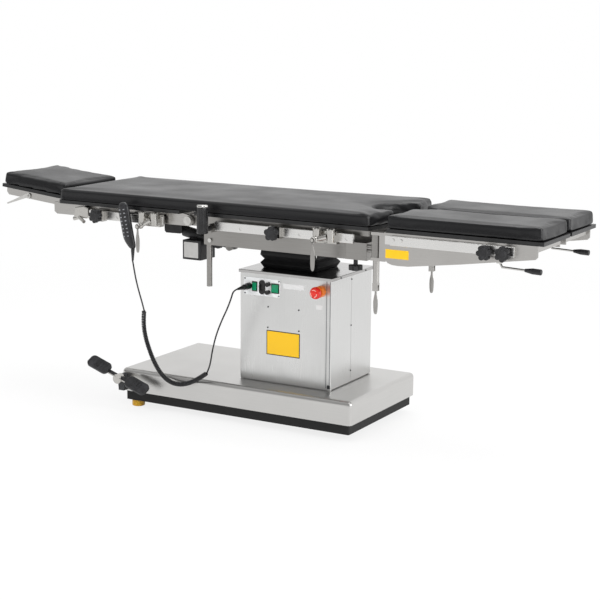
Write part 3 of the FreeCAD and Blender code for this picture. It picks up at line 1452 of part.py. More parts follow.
def main():
    os.makedirs("parts", exist_ok=True)
    save("base_cover", base_cover())
    save("base_skirt", base_skirt())
    save("chassis_deck", *chassis_deck())
    save("wheels_head_end", wheels(head_wheel_x))
    save("wheels_leg_end", wheels(leg_wheel_x))
    save("lock_feet", *lock_feet())
    save("floor_lock_pedal", *floor_lock_pedal())
    save("cabinet_front_cover", cabinet_front_cover())
    save("cabinet_rear_cover", cabinet_half(False), cabinet_foot())
    save("cabinet_lid", cabinet_lid())
    save("control_panel", *control_panel())
    save("rocker_switch_left", rocker(0))
    save("rocker_switch_right", rocker(1))
    save("estop_button", estop_button())
    save("battery_and_control", *battery_and_control())
    save("lift_column_outer", *column_outer())
    save("lift_column_inner", column_inner())
    save("tilt_cross", tilt_cross())
    save("bellows", bellows())

    save("seat_frame", *(seat_frame() + rail(seat_rail_x0, seat_rail_x1, plate_outer, seat_spacer_xs)))
    save("seat_board", seat_board())
    save("seat_pad", seat_pad())
    save("torso_pad_fold", pad_fold())
    seat_clamp = crown_clamp(seat_clamp_x, seat_clamp_bolt_z)
    save("seat_clamps", seat_clamp, mirrored(seat_clamp), knob_block(seat_block_x0, seat_block_x1))
    seat_blade = blade_lever(seat_clamp_x + lever_dx, lever_y, seat_clamp_bolt_z, seat_blade_long,
                             clamp_ring_r, lever_bolt_r + pin_fit)
    save("seat_clamp_lever_near", seat_blade)
    save("seat_clamp_lever_far", mirrored(seat_blade))
    seat_knob_x = (seat_block_x0 + seat_block_x1) / 2
    save("seat_star_knob", front_knob(seat_knob_x, knob_face_y, rail_mid_z - 1.5, 5, 18.0))
    save("side_crank", side_crank())
    drop_knob = star_knob(6, knob_tip_r, 18.0, 14.0, 7.0, 20.0)
    drop_knob.rotate(V(0, 0, 0), V(1, 0, 0), 180)
    drop_knob.translate(V(drop_knob_x, drop_knob_y, carrier_z0 - seat_gap))
    save("leg_lock_knob", drop_knob)

    save("back_frame", back_frame(), *rail(back_rail_x0, back_rail_x1, back_bar_outer, back_spacer_xs))
    save("back_board", back_board())
    save("back_pad", back_pad())
    back_clamp = crown_clamp(back_clamp_x, back_clamp_bolt_z)
    save("back_clamps", back_clamp, knob_block(back_block_x0, back_block_x1), head_clamp())
    back_blade = blade_lever(back_clamp_x + lever_dx, lever_y, back_clamp_bolt_z, back_blade_long,
                             clamp_ring_r, lever_bolt_r + pin_fit)
    save("back_clamp_lever", back_blade)
    save("back_star_knob", front_knob(back_knob_x, knob_face_y, rail_mid_z + 1.5, 7, 10.0))
    save("handset", handset().fuse(handset_hook()))
    save("back_actuator", back_actuator())
    save("back_actuator_rod", back_actuator_rod())

    save("head_frame", head_tilted(head_frame()))
    save("head_board", head_tilted(head_board()))
    save("head_pad", head_tilted(head_pad()))
    save("head_lever", head_tilted(head_lever()))

    leg_nodes = {
        "leg_post": [leg_post()],
        "leg_post_lever": [blade_lever(spread_x, post_y, post_ring_z, post_blade_long,
                                       post_blade_ring_r, post_pin_r + pin_fit)],
        "leg_frame": leg_frame(),
        "leg_board": [leg_board()],
        "leg_pad": [leg_pad()],
        "leg_lever": leg_lever(),
    }
    for name, solids in leg_nodes.items():
        save(name + "_far", *[mirrored(solid) for solid in solids])
        save(name + "_near", *solids)
    leg_face_y = -leg_outer - rail_thick
    save("leg_star_knob_a", front_knob(leg_knob_xs[0], leg_face_y, leg_rail_z - 6.5, 6, 5.0))
    save("leg_star_knob_b", front_knob(leg_knob_xs[1], leg_face_y, leg_rail_z - 5.5, 6, 35.0))

    save("handset_plug", handset_plug())
    cord_nodes()


main()
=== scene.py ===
import math

import bpy
import numpy as np
from mathutils import Matrix, Quaternion, Vector


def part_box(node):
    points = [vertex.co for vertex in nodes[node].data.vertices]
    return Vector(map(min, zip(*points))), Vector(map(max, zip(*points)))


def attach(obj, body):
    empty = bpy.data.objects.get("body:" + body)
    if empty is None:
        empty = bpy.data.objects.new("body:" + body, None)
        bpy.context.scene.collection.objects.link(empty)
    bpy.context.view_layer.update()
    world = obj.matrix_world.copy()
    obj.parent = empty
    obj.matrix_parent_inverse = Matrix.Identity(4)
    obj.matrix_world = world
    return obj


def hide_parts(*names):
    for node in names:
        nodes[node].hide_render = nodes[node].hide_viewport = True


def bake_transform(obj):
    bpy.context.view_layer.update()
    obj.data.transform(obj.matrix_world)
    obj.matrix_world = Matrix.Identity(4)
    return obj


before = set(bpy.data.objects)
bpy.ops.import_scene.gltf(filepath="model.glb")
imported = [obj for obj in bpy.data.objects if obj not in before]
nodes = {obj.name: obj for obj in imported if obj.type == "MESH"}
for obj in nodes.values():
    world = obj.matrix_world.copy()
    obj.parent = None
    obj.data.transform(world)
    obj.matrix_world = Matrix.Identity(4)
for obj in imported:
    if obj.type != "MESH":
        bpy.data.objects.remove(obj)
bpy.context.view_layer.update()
mm = 0.001
column_low, column_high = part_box("lift_column_outer")
column_x = (column_low.x + column_high.x) / 2


# Camera
# It stands about five metres away beyond the leg end, a little above the pads, and leans by half a degree.
camera_place = (2.60305, -4.38184, 1.39656)
camera_forward = Vector((-0.485658, 0.852385, -0.193844))
camera_roll = math.radians(0.487)
camera_data = bpy.data.cameras.new("camera")
camera_data.lens = 90.32
camera_data.clip_end = 60.0
camera = bpy.data.objects.new("camera", camera_data)
bpy.context.scene.collection.objects.link(camera)
camera.location = camera_place
camera.rotation_mode = "QUATERNION"
camera.rotation_quaternion = camera_forward.to_track_quat("-Z", "Y") @ Quaternion((0, 0, 1), camera_roll)
bpy.context.scene.camera = camera
bpy.context.scene.view_settings.view_transform = "Standard"


# Hand control cord
# A black PVC lead 5.2 mm thick: straight out of the hand control, then a curly stretch that sags to the
# base, then straight up into the plug. It is one length, held by the strain reliefs at its two ends.
def linear(colour):
    """An sRGB hex colour as the linear values that the shaders take."""
    parts = [int(colour[i:i + 2], 16) / 255 for i in (1, 3, 5)]
    return [c / 12.92 if c <= 0.04045 else ((c + 0.055) / 1.055) ** 2.4 for c in parts] + [1.0]


def add_node(material, kind, inputs=(), **settings):
    """Adds one node. Each input is a value, or the output that feeds the socket."""
    node = material.node_tree.nodes.new(kind)
    for key, value in settings.items():
        setattr(node, key, value)
    for key, value in dict(inputs).items():
        if isinstance(value, bpy.types.NodeSocket):
            material.node_tree.links.new(value, node.inputs[key])
        else:
            node.inputs[key].default_value = value
    return node


def surface(name, colour, roughness, **sockets):
    """A new material with one shader, and that shader; sockets are what is the same all over it."""
    material = bpy.data.materials.new(name)
    material.use_nodes = True
    shader = material.node_tree.nodes["Principled BSDF"]
    shader.inputs["Base Color"].default_value = linear(colour)
    shader.inputs["Roughness"].default_value = roughness
    for key, value in sockets.items():
        shader.inputs[key.replace("_", " ")].default_value = value
    return material, shader


def moulded(name, colour, worn, grain, depth, roughness=(0.42, 0.6)):
    """A moulded plastic or rubber: fine grain in the mould, and faintly worn, lighter patches."""
    material, shader = surface(name, colour, roughness[0])
    place = add_node(material, "ShaderNodeTexCoord")
    fine = add_node(material, "ShaderNodeTexNoise",
                    {"Vector": place.outputs["Object"], "Scale": 1 / grain, "Detail": 2.0})
    broad = add_node(material, "ShaderNodeTexNoise",
                     {"Vector": place.outputs["Object"], "Scale": 1 / (18 * mm), "Detail": 4.0})
    patches = add_node(material, "ShaderNodeMapRange",
                       {"Value": broad.outputs["Fac"], "From Min": 0.4, "From Max": 0.75})
    tone = add_node(material, "ShaderNodeMix",
                    {0: patches.outputs["Result"], 6: linear(colour), 7: linear(worn)}, data_type="RGBA")
    gloss = add_node(material, "ShaderNodeMapRange",
                     {"Value": broad.outputs["Fac"], "To Min": roughness[0], "To Max": roughness[1]})
    bump = add_node(material, "ShaderNodeBump",
                    {"Height": fine.outputs["Fac"], "Distance": depth, "Strength": 0.6})
    links = material.node_tree.links
    links.new(tone.outputs[2], shader.inputs["Base Color"])
    links.new(gloss.outputs["Result"], shader.inputs["Roughness"])
    links.new(bump.outputs["Normal"], shader.inputs["Normal"])
    return material


def at(x, y, z):
    """A place given in millimetres from the lift column's axis, in the row frame."""
    return Vector((x * mm + column_x, y * mm, z * mm))


def smooth_line(name, route):
    """Points read from the open NURBS spline whose control points are the route."""
    curve = bpy.data.curves.new(name, "CURVE")
    curve.dimensions = "3D"
    curve.resolution_u = 16
    spline = curve.splines.new("NURBS")
    spline.points.add(len(route) - 1)
    for point, place in zip(spline.points, route):
        point.co = (*at(*place), 1.0)
    spline.order_u = 3
    spline.use_endpoint_u = True
    holder = bpy.data.objects.new(name, curve)
    bpy.context.scene.collection.objects.link(holder)
    bpy.context.view_layer.update()
    mesh = bpy.data.meshes.new_from_object(holder)
    places = [vertex.co.copy() for vertex in mesh.vertices]
    bpy.data.objects.remove(holder)
    bpy.data.meshes.remove(mesh)
    return places


def evenly(line, step):
    """The same line with its points a step apart."""
    marks = np.array([tuple(p) for p in line])
    runs = np.linalg.norm(np.diff(marks, axis=0), axis=1)
    along = np.concatenate([[0.0], np.cumsum(runs)])
    wanted = np.linspace(0, along[-1], max(2, round(along[-1] / step) + 1))
    return [Vector([np.interp(w, along, marks[:, axis]) for axis in range(3)]) for w in wanted]


lead_r = 2.6 * mm
curl_outer_r = 8.2 * mm
curl_pitch = 5.75 * mm
curl_start, curl_end = (-486, -267, 360), (-241, -252, 168)
upper_route = [(-529.6, -270, 529.9), (-524.9, -270, 506.4), (-519, -270, 476), (-512, -269, 446),
               (-503, -268, 415), (-494, -267, 387), curl_start]
curl_route = [curl_start, (-490, -267, 322), (-484, -267, 274), (-468, -266, 227), (-448, -265, 183),
              (-421, -263, 144), (-388, -261, 120), (-349, -258, 114), (-309, -256, 125),
              (-268, -254, 148), curl_end]
lower_route = [curl_end, (-231, -252, 189), (-224, -253, 214), (-217, -255, 248), (-199, -259, 306),
               (-173, -263, 361), (-152, -264, 400), (-139, -260, 436), (-138, -247, 462),
               (-138, -220.5, 462)]
plain_step = 6 * mm


def curled(line):
    """A helix round the line, wound down onto it over the last half turn at each end."""
    steps_per_turn = 14
    axis = evenly(line, curl_pitch / steps_per_turn)
    radius = curl_outer_r - lead_r
    side = Vector((0, 1, 0))
    wound = []
    for index, centre in enumerate(axis):
        ahead = axis[min(index + 1, len(axis) - 1)] - axis[max(index - 1, 0)]
        ahead.normalize()
        side = (side - ahead * side.dot(ahead)).normalized()
        turn = 2 * math.pi * index / steps_per_turn
        from_end = min(index, len(axis) - 1 - index) / steps_per_turn
        grown = min(1.0, from_end / 0.5)
        spread = side * math.cos(turn) + ahead.cross(side) * math.sin(turn)
        wound.append(centre + spread * radius * grown * grown * (3 - 2 * grown))
    return wound


cord_line = evenly(smooth_line("upper_line", upper_route), plain_step)
cord_line += curled(smooth_line("curl_line", curl_route))[1:]
cord_line += evenly(smooth_line("lower_line", lower_route), plain_step)[1:]
# Extruded soft PVC: near black with a dull sheen that runs along each turn.
cord_black = moulded("pvc_cable_jacket", "#1b1b1d", "#2b2b2e", 1.2 * mm, 0.05 * mm)

cord_curve = bpy.data.curves.new("hand_control_cord", "CURVE")
cord_curve.dimensions = "3D"
cord_curve.bevel_depth = lead_r
cord_curve.bevel_resolution = 2
cord_curve.use_fill_caps = True
cord_spline = cord_curve.splines.new("POLY")
cord_spline.points.add(len(cord_line) - 1)
for point, place in zip(cord_spline.points, cord_line):
    point.co = (*place, 1.0)
cord_holder = bpy.data.objects.new("hand_control_cord", cord_curve)
bpy.context.scene.collection.objects.link(cord_holder)
bpy.ops.object.select_all(action="DESELECT")
cord_holder.select_set(True)
bpy.context.view_layer.objects.active = cord_holder
bpy.ops.object.convert(target="MESH")
cord = bpy.context.object
bpy.ops.object.shade_smooth()
cord.data.materials.clear()
cord.data.materials.append(cord_black)
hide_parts("handset_lead_upper", "handset_curl", "handset_lead_lower")
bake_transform(cord)


# Base
# A welded box of 2.5 mm stainless sheet, brushed along its length, over a black rubber-faced skirt.
# It hides the chassis, two pairs of wheels and the four lock feet.
def brushed(name, colour, shade, grain="X", roughness=(0.26, 0.42), streak=(140 * mm, 2.6 * mm)):
    """Stainless steel brushed one way: long fine streaks in tone, gloss and height.

    Real brush lines are a tenth of a millimetre apart, so they are drawn coarser to show. Faces that look
    along the grain take the second pattern, so that no streak is seen end on."""
    material, shader = surface(name, colour, roughness[0], Metallic=1.0)
    links = material.node_tree.links
    place = add_node(material, "ShaderNodeTexCoord")
    split = add_node(material, "ShaderNodeSeparateXYZ", {"Vector": place.outputs["Normal"]})
    facing = add_node(material, "ShaderNodeMath", {0: split.outputs[grain]}, operation="ABSOLUTE")
    ends = add_node(material, "ShaderNodeMath", {0: facing.outputs[0], 1: 0.7}, operation="GREATER_THAN")
    along, fine = 1 / streak[0], 1 / streak[1]
    first = (along, fine, fine) if grain == "X" else (fine, fine, along)
    second = (fine, along, fine)
    patterns = []
    for scale in (first, second):
        drawn = add_node(material, "ShaderNodeMapping", {"Vector": place.outputs["Object"], "Scale": scale})
        patterns.append(add_node(material, "ShaderNodeTexNoise", {"Vector": drawn.outputs["Vector"],
                                                                  "Scale": 1.0, "Detail": 3.0,
                                                                  "Roughness": 0.6}))
    streaks = add_node(material, "ShaderNodeMix",
                       {0: ends.outputs[0], 2: patterns[0].outputs["Fac"], 3: patterns[1].outputs["Fac"]})
    smudge = add_node(material, "ShaderNodeTexNoise",
                      {"Vector": place.outputs["Object"], "Scale": 1 / (160 * mm), "Detail": 3.0})
    tone = add_node(material, "ShaderNodeMix", {0: streaks.outputs[0], 6: linear(shade), 7: linear(colour)},
                    data_type="RGBA")
    links.new(tone.outputs[2], shader.inputs["Base Color"])
    both = add_node(material, "ShaderNodeMath", {0: streaks.outputs[0], 1: smudge.outputs["Fac"]},
                    operation="MULTIPLY")
    gloss = add_node(material, "ShaderNodeMapRange",
                     {"Value": both.outputs[0], "From Min": 0.12, "From Max": 0.4,
                      "To Min": roughness[0], "To Max": roughness[1]})
    links.new(gloss.outputs["Result"], shader.inputs["Roughness"])
    bump = add_node(material, "ShaderNodeBump",
                    {"Height": streaks.outputs[0], "Distance": 0.03 * mm, "Strength": 0.15})
    links.new(bump.outputs["Normal"], shader.inputs["Normal"])
    return material


def painted(name, colour, roughness=0.5, grain=1.4 * mm):
    """Powder coat: even colour, a fine orange peel, a little dust in the gloss."""
    material, shader = surface(name, colour, roughness)
    place = add_node(material, "ShaderNodeTexCoord")
    peel = add_node(material, "ShaderNodeTexNoise",
                    {"Vector": place.outputs["Object"], "Scale": 1 / grain, "Detail": 1.0})
    dust = add_node(material, "ShaderNodeTexNoise",
                    {"Vector": place.outputs["Object"], "Scale": 1 / (45 * mm), "Detail": 5.0})
    gloss = add_node(material, "ShaderNodeMapRange",
                     {"Value": dust.outputs["Fac"], "To Min": roughness - 0.1, "To Max": roughness + 0.12})
    bump = add_node(material, "ShaderNodeBump",
                    {"Height": peel.outputs["Fac"], "Distance": 0.06 * mm, "Strength": 0.4})
    material.node_tree.links.new(gloss.outputs["Result"], shader.inputs["Roughness"])
    material.node_tree.links.new(bump.outputs["Normal"], shader.inputs["Normal"])
    return material


def give(material, *names):
    """Puts a finish on carried-over nodes."""
    for name in names:
        data = nodes[name].data
        data.materials.clear()
        data.materials.append(material)


def give_where(node, material, test):
    """Puts a further finish on the faces of a node whose middles, in column millimetres, pass the test."""
    data = nodes[node].data
    data.materials.append(material)
    index = len(data.materials) - 1
    for face in data.polygons:
        c = face.center
        if test(Vector(((c.x - column_x) / mm, c.y / mm, c.z / mm))):
            face.material_index = index


def give_part(node, material, low, high):
    """Puts a further finish on the faces of a node that lie between two corners, in column millimetres."""
    give_where(node, material, lambda p: all(a - 1e-3 <= c <= b + 1e-3 for a, c, b in zip(low, p, high)))


# Stainless sheet with a satin brush: soft reflections that are drawn out along the table.
base_steel = brushed("brushed_stainless_base", "#d0cfcd", "#c3c2c0", roughness=(0.28, 0.38))
# Rubber facing: matt black, a little dusty.
skirt_black = moulded("skirt_rubber", "#0c0c0c", "#151516", 1.6 * mm, 0.08 * mm, roughness=(0.6, 0.8))
# Powder-coated steel and grey rubber tread: dull, hidden in shade.
chassis_grey = painted("chassis_powder_coat", "#3a3b3d")
tread_grey = moulded("castor_tread", "#4b4c4e", "#5c5d5f", 1.5 * mm, 0.08 * mm)
# Cast polyurethane feet: saturated amber with a soft shine.
foot_amber = moulded("amber_polyurethane", "#d9a20a", "#e8b822", 1.6 * mm, 0.05 * mm,
                     roughness=(0.25, 0.4))
give(base_steel, "base_cover")
give(skirt_black, "base_skirt")
give(chassis_grey, "chassis_deck", "lift_column_outer")
give(tread_grey, "wheels_head_end", "wheels_leg_end")
give(foot_amber, "lock_feet")


# Floor lock pedal
# A cast steel hub on a cross shaft with two arms, each with a ribbed black rubber pad pushed onto it.
# The hub and the arms are tumbled bright, and the pads are moulded.
def satin(name, colour, shade, roughness=(0.2, 0.36), grain=3.0 * mm):
    """Tumbled or cast metal: soft mottled gloss, no direction."""
    material, shader = surface(name, colour, roughness[0], Metallic=1.0)
    place = add_node(material, "ShaderNodeTexCoord")
    cloud = add_node(material, "ShaderNodeTexNoise",
                     {"Vector": place.outputs["Object"], "Scale": 1 / (4 * grain), "Detail": 5.0})
    fine = add_node(material, "ShaderNodeTexNoise",
                    {"Vector": place.outputs["Object"], "Scale": 1 / grain, "Detail": 2.0})
    tone = add_node(material, "ShaderNodeMix",
                    {0: cloud.outputs["Fac"], 6: linear(shade), 7: linear(colour)}, data_type="RGBA")
    gloss = add_node(material, "ShaderNodeMapRange",
                     {"Value": cloud.outputs["Fac"], "To Min": roughness[0], "To Max": roughness[1]})
    bump = add_node(material, "ShaderNodeBump",
                    {"Height": fine.outputs["Fac"], "Distance": 0.03 * mm, "Strength": 0.12})
    links = material.node_tree.links
    links.new(tone.outputs[2], shader.inputs["Base Color"])
    links.new(gloss.outputs["Result"], shader.inputs["Roughness"])
    links.new(bump.outputs["Normal"], shader.inputs["Normal"])
    return material


# Cast metal, tumbled: bright with a faint mottle. Ground shafts and rods: close to a mirror.
cast_metal = satin("satin_cast_metal", "#c9c7c3", "#b3b1ad", roughness=(0.2, 0.3))
bright_steel = satin("polished_steel", "#dcdbd8", "#aaa9a6", roughness=(0.12, 0.24))
# Moulded rubber: a fine grain that keeps the shine broad.
pad_rubber = moulded("pedal_rubber", "#1d1d1f", "#313134", 1.4 * mm, 0.1 * mm, roughness=(0.45, 0.62))
give(cast_metal, "floor_lock_pedal")
pedal_place = Vector((-593, -273, 108))
pedal_tip = Matrix.Rotation(math.radians(-19), 3, "Y")
pedal_lean = Matrix.Rotation(math.radians(-35), 3, "X")
# Where the rubber of each pad starts, out along its arm and up from it.
pad_start = 25
pad_low = 13.9


def on_pedal_pad(p):
    """Whether a point of the pedal lies on one of the two rubber pads, above their arms."""
    level = pedal_tip @ (p - pedal_place)
    level.x = abs(level.x)
    return level.x > pad_start and (pedal_lean @ level).z > pad_low


give_where("floor_lock_pedal", pad_rubber, on_pedal_pad)


# Cabinet
# Two folded covers of fine brushed sheet meet in a seam at the middle of each side. A shallow lid with a
# rolled lip closes the top, and a folded foot ring screws it down to the base. Its plates are bare.
# Sheet finely brushed upright, so reflections spread sideways. The lid is polished, close to a mirror.
cabinet_steel = brushed("fine_brushed_cabinet", "#dcdcdb", "#cfcfce", grain="Z", roughness=(0.26, 0.38))
lid_steel = brushed("polished_lid", "#bcbbba", "#a6a5a4", roughness=(0.12, 0.22))
give(cabinet_steel, "cabinet_front_cover", "cabinet_rear_cover")
give(lid_steel, "cabinet_lid")


def block(middle, size):
    """A plain block to model from, given its middle and its size in metres."""
    bpy.ops.object.select_all(action="DESELECT")
    bpy.ops.mesh.primitive_cube_add(size=1, location=middle, scale=size)
    bpy.ops.object.transform_apply(location=True, rotation=True, scale=True)
    return bpy.context.object


def choose(piece, kind, test):
    """Selects, in edit mode, the points, edges or faces of a piece that pass the test."""
    bpy.ops.object.mode_set(mode="EDIT")
    bpy.ops.mesh.select_mode(type=kind)
    bpy.ops.mesh.select_all(action="DESELECT")
    bpy.ops.object.mode_set(mode="OBJECT")
    items = {"VERT": piece.data.vertices, "EDGE": piece.data.edges, "FACE": piece.data.polygons}[kind]
    for item in items:
        item.select = test(item)
    bpy.ops.object.mode_set(mode="EDIT")


def ease(offset, steps):
    """Bevels the chosen edges, or the edges round the chosen faces, by an offset in millimetres."""
    bpy.ops.mesh.bevel(offset=offset * mm, segments=steps, affect="EDGES")


def joined(parts):
    """Makes one piece of several and leaves it selected. The first takes in the others."""
    bpy.ops.object.select_all(action="DESELECT")
    for part in parts:
        part.select_set(True)
    bpy.context.view_layer.objects.active = parts[0]
    if len(parts) > 1:
        bpy.ops.object.join()
    return parts[0]


def repeated(piece, moves):
    """Copies of one modelled piece, each moved by its matrix, in place of the piece itself."""
    copies = []
    for move in moves:
        copy = piece.copy()
        copy.data = piece.data.copy()
        copy.data.transform(move)
        bpy.context.scene.collection.objects.link(copy)
        copies.append(copy)
    bpy.data.objects.remove(piece)
    return joined(copies)


def finished(piece, name, material, body=None):
    """Names a modelled piece, gives it its finish and, where one is named, lets it ride on its body."""
    if piece.mode == "EDIT":
        bpy.ops.object.mode_set(mode="OBJECT")
    bpy.ops.object.shade_smooth_by_angle(angle=math.radians(35))
    piece.name = name
    piece.data.name = name
    piece.data.materials.clear()
    piece.data.materials.append(material)
    if body:
        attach(piece, body)
    return piece


def thin_plate(name, low, high, corner, material, body):
    """A stamped plate that faces the side of the table, with round corners and eased rims."""
    a, b = at(*low), at(*high)
    piece = block((a + b) / 2, b - a)
    points = piece.data.vertices
    choose(piece, "EDGE",
           lambda edge: abs(points[edge.vertices[0]].co.y - points[edge.vertices[1]].co.y) > 1e-6)
    ease(corner, 4)
    choose(piece, "FACE", lambda face: abs(face.normal.y) > 0.9)
    ease(0.12, 1)
    return finished(piece, name, material, body)


def screw_heads(name, places, facing, radius):
    """Round-headed screws with a driver recess, all alike: one is modelled and the rest are copied."""
    bpy.ops.object.select_all(action="DESELECT")
    bpy.ops.mesh.primitive_cylinder_add(vertices=20, radius=radius * mm, depth=1.2 * radius * mm)
    head = bpy.context.object
    choose(head, "FACE", lambda face: face.normal.z > 0.9)
    ease(0.3 * radius, 3)
    choose(head, "FACE", lambda face: face.normal.z > 0.99)
    bpy.ops.mesh.inset(thickness=0.25 * radius * mm)
    bpy.ops.mesh.extrude_region_move(TRANSFORM_OT_translate={"value": (0, 0, -0.4 * radius * mm)})
    bpy.ops.object.mode_set(mode="OBJECT")
    turn = Vector((0, 0, 1)).rotation_difference(Vector(facing)).to_matrix().to_4x4()
    heads = repeated(head, [Matrix.Translation(at(*place)) @ turn for place in places])
    return finished(heads, name, screw_dark, "base")


# Blackened screws: dark metal with a soft glint. Plates and stickers: flat, even print ground.
screw_dark = satin("blackened_screw_steel", "#57585a", "#3c3d3f", roughness=(0.28, 0.4))
plate_border = painted("printed_border", "#1c1c1c", roughness=0.4)
plate_yellow = painted("yellow_plate", "#f8c400", roughness=0.35)
sticker_white = painted("white_plate", "#dedede", roughness=0.35)
# A grey finish for two thin strips down the cabinet's front corner: painted shade along the bends of its
# fold.
fold_shade_paint = painted("trim_shadow_line", "#6f7073", roughness=0.4)
front_y = -145
for name, low, high, corner, material in (
        ("front_plate_border", (-71, front_y - 0.35, 234), (58, front_y, 318), 2.0, plate_border),
        ("front_plate", (-68, front_y - 0.7, 237), (55, front_y - 0.2, 315), 1.5, plate_yellow),
        ("top_sticker", (-8, front_y - 0.3, 465), (74, front_y, 482), 1.5, sticker_white),
        ("stop_sticker", (118, front_y - 0.3, 408), (142, front_y, 423), 1.5, sticker_white)):
    thin_plate(name, low, high, corner, material, "base")
screw_heads("front_screws",
            [(x, front_y - 0.5, z) for x, z in ((-65, 397), (53, 398), (-66, 326.5), (54, 327))],
            (0, -1, 0), 2.6)
screw_heads("side_screws", [(175.6, -4, z) for z in (493, 336, 180)], (1, 0, 0), 2.4)
screw_heads("lid_screws", [(180.5, y, 510) for y in (-88, 88)], (1, 0, 0), 2.4)
# Two thin grey strips down the front corner are painted shade on the bends of the corner's fold.
for name, x in (("corner_fold_shade_inner", 156.5), ("corner_fold_shade_outer", 169.5)):
    thin_plate(name, (x, front_y - 0.4, 146), (x + 2.6, front_y, 505), 0.8, fold_shade_paint, "base")
thin_plate("corner_cap", (163, front_y - 2, 145), (174, front_y + 0.2, 157), 2.0,
           screw_dark, "base")


# Control panel
# A white plate with the hand control's socket, two lit green rockers, a mains inlet and two fuse caps.
# Beside it the emergency stop stands on an amber collar, with three pale arcs printed on its button.
def side_ring(middle, radius, wire_r, steps, wire_steps):
    """A round ring to model from. It faces the side of the table."""
    bpy.ops.object.select_all(action="DESELECT")
    bpy.ops.mesh.primitive_torus_add(location=middle, rotation=(math.pi / 2, 0, 0), major_segments=steps,
                                     minor_segments=wire_steps, major_radius=radius, minor_radius=wire_r)
    bpy.ops.object.transform_apply(location=True, rotation=True, scale=True)
    return bpy.context.object


# Coated plate, black fittings, and the clear moulded plastics of rockers, button and collar, which shine.
panel_white = painted("white_panel_coat", "#e9eaeb", roughness=0.4)
panel_black = moulded("black_fittings", "#121213", "#1e1e20", 1.0 * mm, 0.04 * mm, roughness=(0.3, 0.45))
rocker_green = moulded("green_rocker", "#0c7f55", "#159368", 2.0 * mm, 0.02 * mm, roughness=(0.16, 0.26))
stop_red = moulded("red_button", "#d8261c", "#e23a2c", 2.0 * mm, 0.02 * mm, roughness=(0.2, 0.3))
collar_amber = moulded("amber_collar", "#ee7a1e", "#f38b35", 2.0 * mm, 0.02 * mm, roughness=(0.25, 0.35))
stop_marks = painted("stop_mark_pale", "#f3b3a8", roughness=0.35)
give(panel_white, "control_panel")
give(rocker_green, "rocker_switch_left", "rocker_switch_right")
give(stop_red, "estop_button")
give(panel_black, "battery_and_control", "handset_plug")
give_part("control_panel", panel_black, (-152, -166, 433), (-126, -146.6, 491))
give_part("control_panel", panel_black, (-104, -166, 433), (-52, -146.6, 491))
give_part("control_panel", collar_amber, (112, -170, 446), (160, -144, 494))
screw_heads("panel_screws", [(x, -147.4, z) for x in (-155, -23) for z in (437, 487)], (0, -1, 0), 2.4)
for name, start, end in (("rocker_frame_left", -127.5, -106.5), ("rocker_frame_right", -52.5, -21.5)):
    thin_plate(name, (start, -147.6, 445), (end, -146.4, 479), 1.5, panel_black, "base")
stop_low, stop_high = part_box("estop_button")
stop_face = (Vector(stop_low) + Vector(stop_high)) / 2
stop_face.y = stop_low[1] + 0.6 * mm


def between_arcs(face):
    """Whether a face of the ring lies in one of the three gaps between the arcs."""
    turn = math.atan2(face.center.z - stop_face.z, face.center.x - stop_face.x)
    return int(math.degrees(turn) + 360) % 120 < 45


arcs = side_ring(stop_face, 11.5 * mm, 1.3 * mm, 48, 8)
choose(arcs, "FACE", between_arcs)
bpy.ops.mesh.delete(type="FACE")
finished(arcs, "stop_arcs", stop_marks, "stop_button")


# Lift column, tilt head and bellows
# Ground steel slides inside the painted outer column. The pleated black skirt hides them.
# The skirt is coated fabric, folded flat in its pleats and clamped to the lid and the table top.
give(bright_steel, "lift_column_inner", "tilt_cross")
# Coated fabric: black, with a dull sheen on the edge of each pleat.
bellows_black = moulded("bellows_fabric", "#0e0e0f", "#18181a", 1.8 * mm, 0.1 * mm, roughness=(0.5, 0.66))


def apply_modifiers(piece):
    """Bakes what the modifiers of a piece do into its mesh, in their order."""
    bpy.ops.object.select_all(action="DESELECT")
    piece.select_set(True)
    bpy.context.view_layer.objects.active = piece
    for modifier in list(piece.modifiers):
        bpy.ops.object.modifier_apply(modifier=modifier.name)


def pleated_skirt(x0, x1, half, levels):
    """A square tube of fabric drawn up level by level, each level set in by its own depth."""
    middle = at((x0 + x1) / 2, 0, levels[0][0])
    height, inset = levels[0]
    wide, deep = (x1 - x0) * mm, 2 * half * mm
    bpy.ops.object.select_all(action="DESELECT")
    bpy.ops.mesh.primitive_plane_add(size=1, location=middle)
    piece = bpy.context.object
    piece.scale = (wide - 2 * inset * mm, deep - 2 * inset * mm, 1)
    bpy.ops.object.transform_apply(location=True, rotation=True, scale=True)
    bpy.ops.object.mode_set(mode="EDIT")
    bpy.ops.mesh.select_all(action="SELECT")
    bpy.ops.mesh.bevel(offset=14 * mm, segments=4, affect="VERTICES")
    bpy.ops.mesh.select_all(action="SELECT")
    bpy.ops.mesh.delete(type="ONLY_FACE")
    bpy.ops.mesh.select_all(action="SELECT")
    for z, depth in levels[1:]:
        bpy.ops.mesh.extrude_edges_move(TRANSFORM_OT_translate={"value": (0, 0, (z - height) * mm)})
        grow = [(side - 2 * depth * mm) / (side - 2 * inset * mm) for side in (wide, deep)]
        bpy.ops.transform.resize(value=(*grow, 1), center_override=(middle.x, middle.y, z * mm))
        height, inset = z, depth
    bpy.ops.mesh.select_all(action="SELECT")
    bpy.ops.mesh.normals_make_consistent(inside=False)
    bpy.ops.object.mode_set(mode="OBJECT")
    wall = piece.modifiers.new("wall", "SOLIDIFY")
    wall.thickness = 1.5 * mm
    wall.offset = -1
    crease = piece.modifiers.new("crease", "BEVEL")
    crease.width = 1.2 * mm
    crease.segments = 2
    crease.limit_method = "ANGLE"
    crease.angle_limit = math.radians(40)
    apply_modifiers(piece)
    return piece


# Height and inset of each fold, from the lid up to the table top.
pleats = [(516.5, 9), (533, 0), (545, 11), (560, 0), (581.5, 3)]
skirt = finished(pleated_skirt(-137, 88, 90, pleats), "pleated_skirt", bellows_black)
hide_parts("bellows")
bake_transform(skirt)


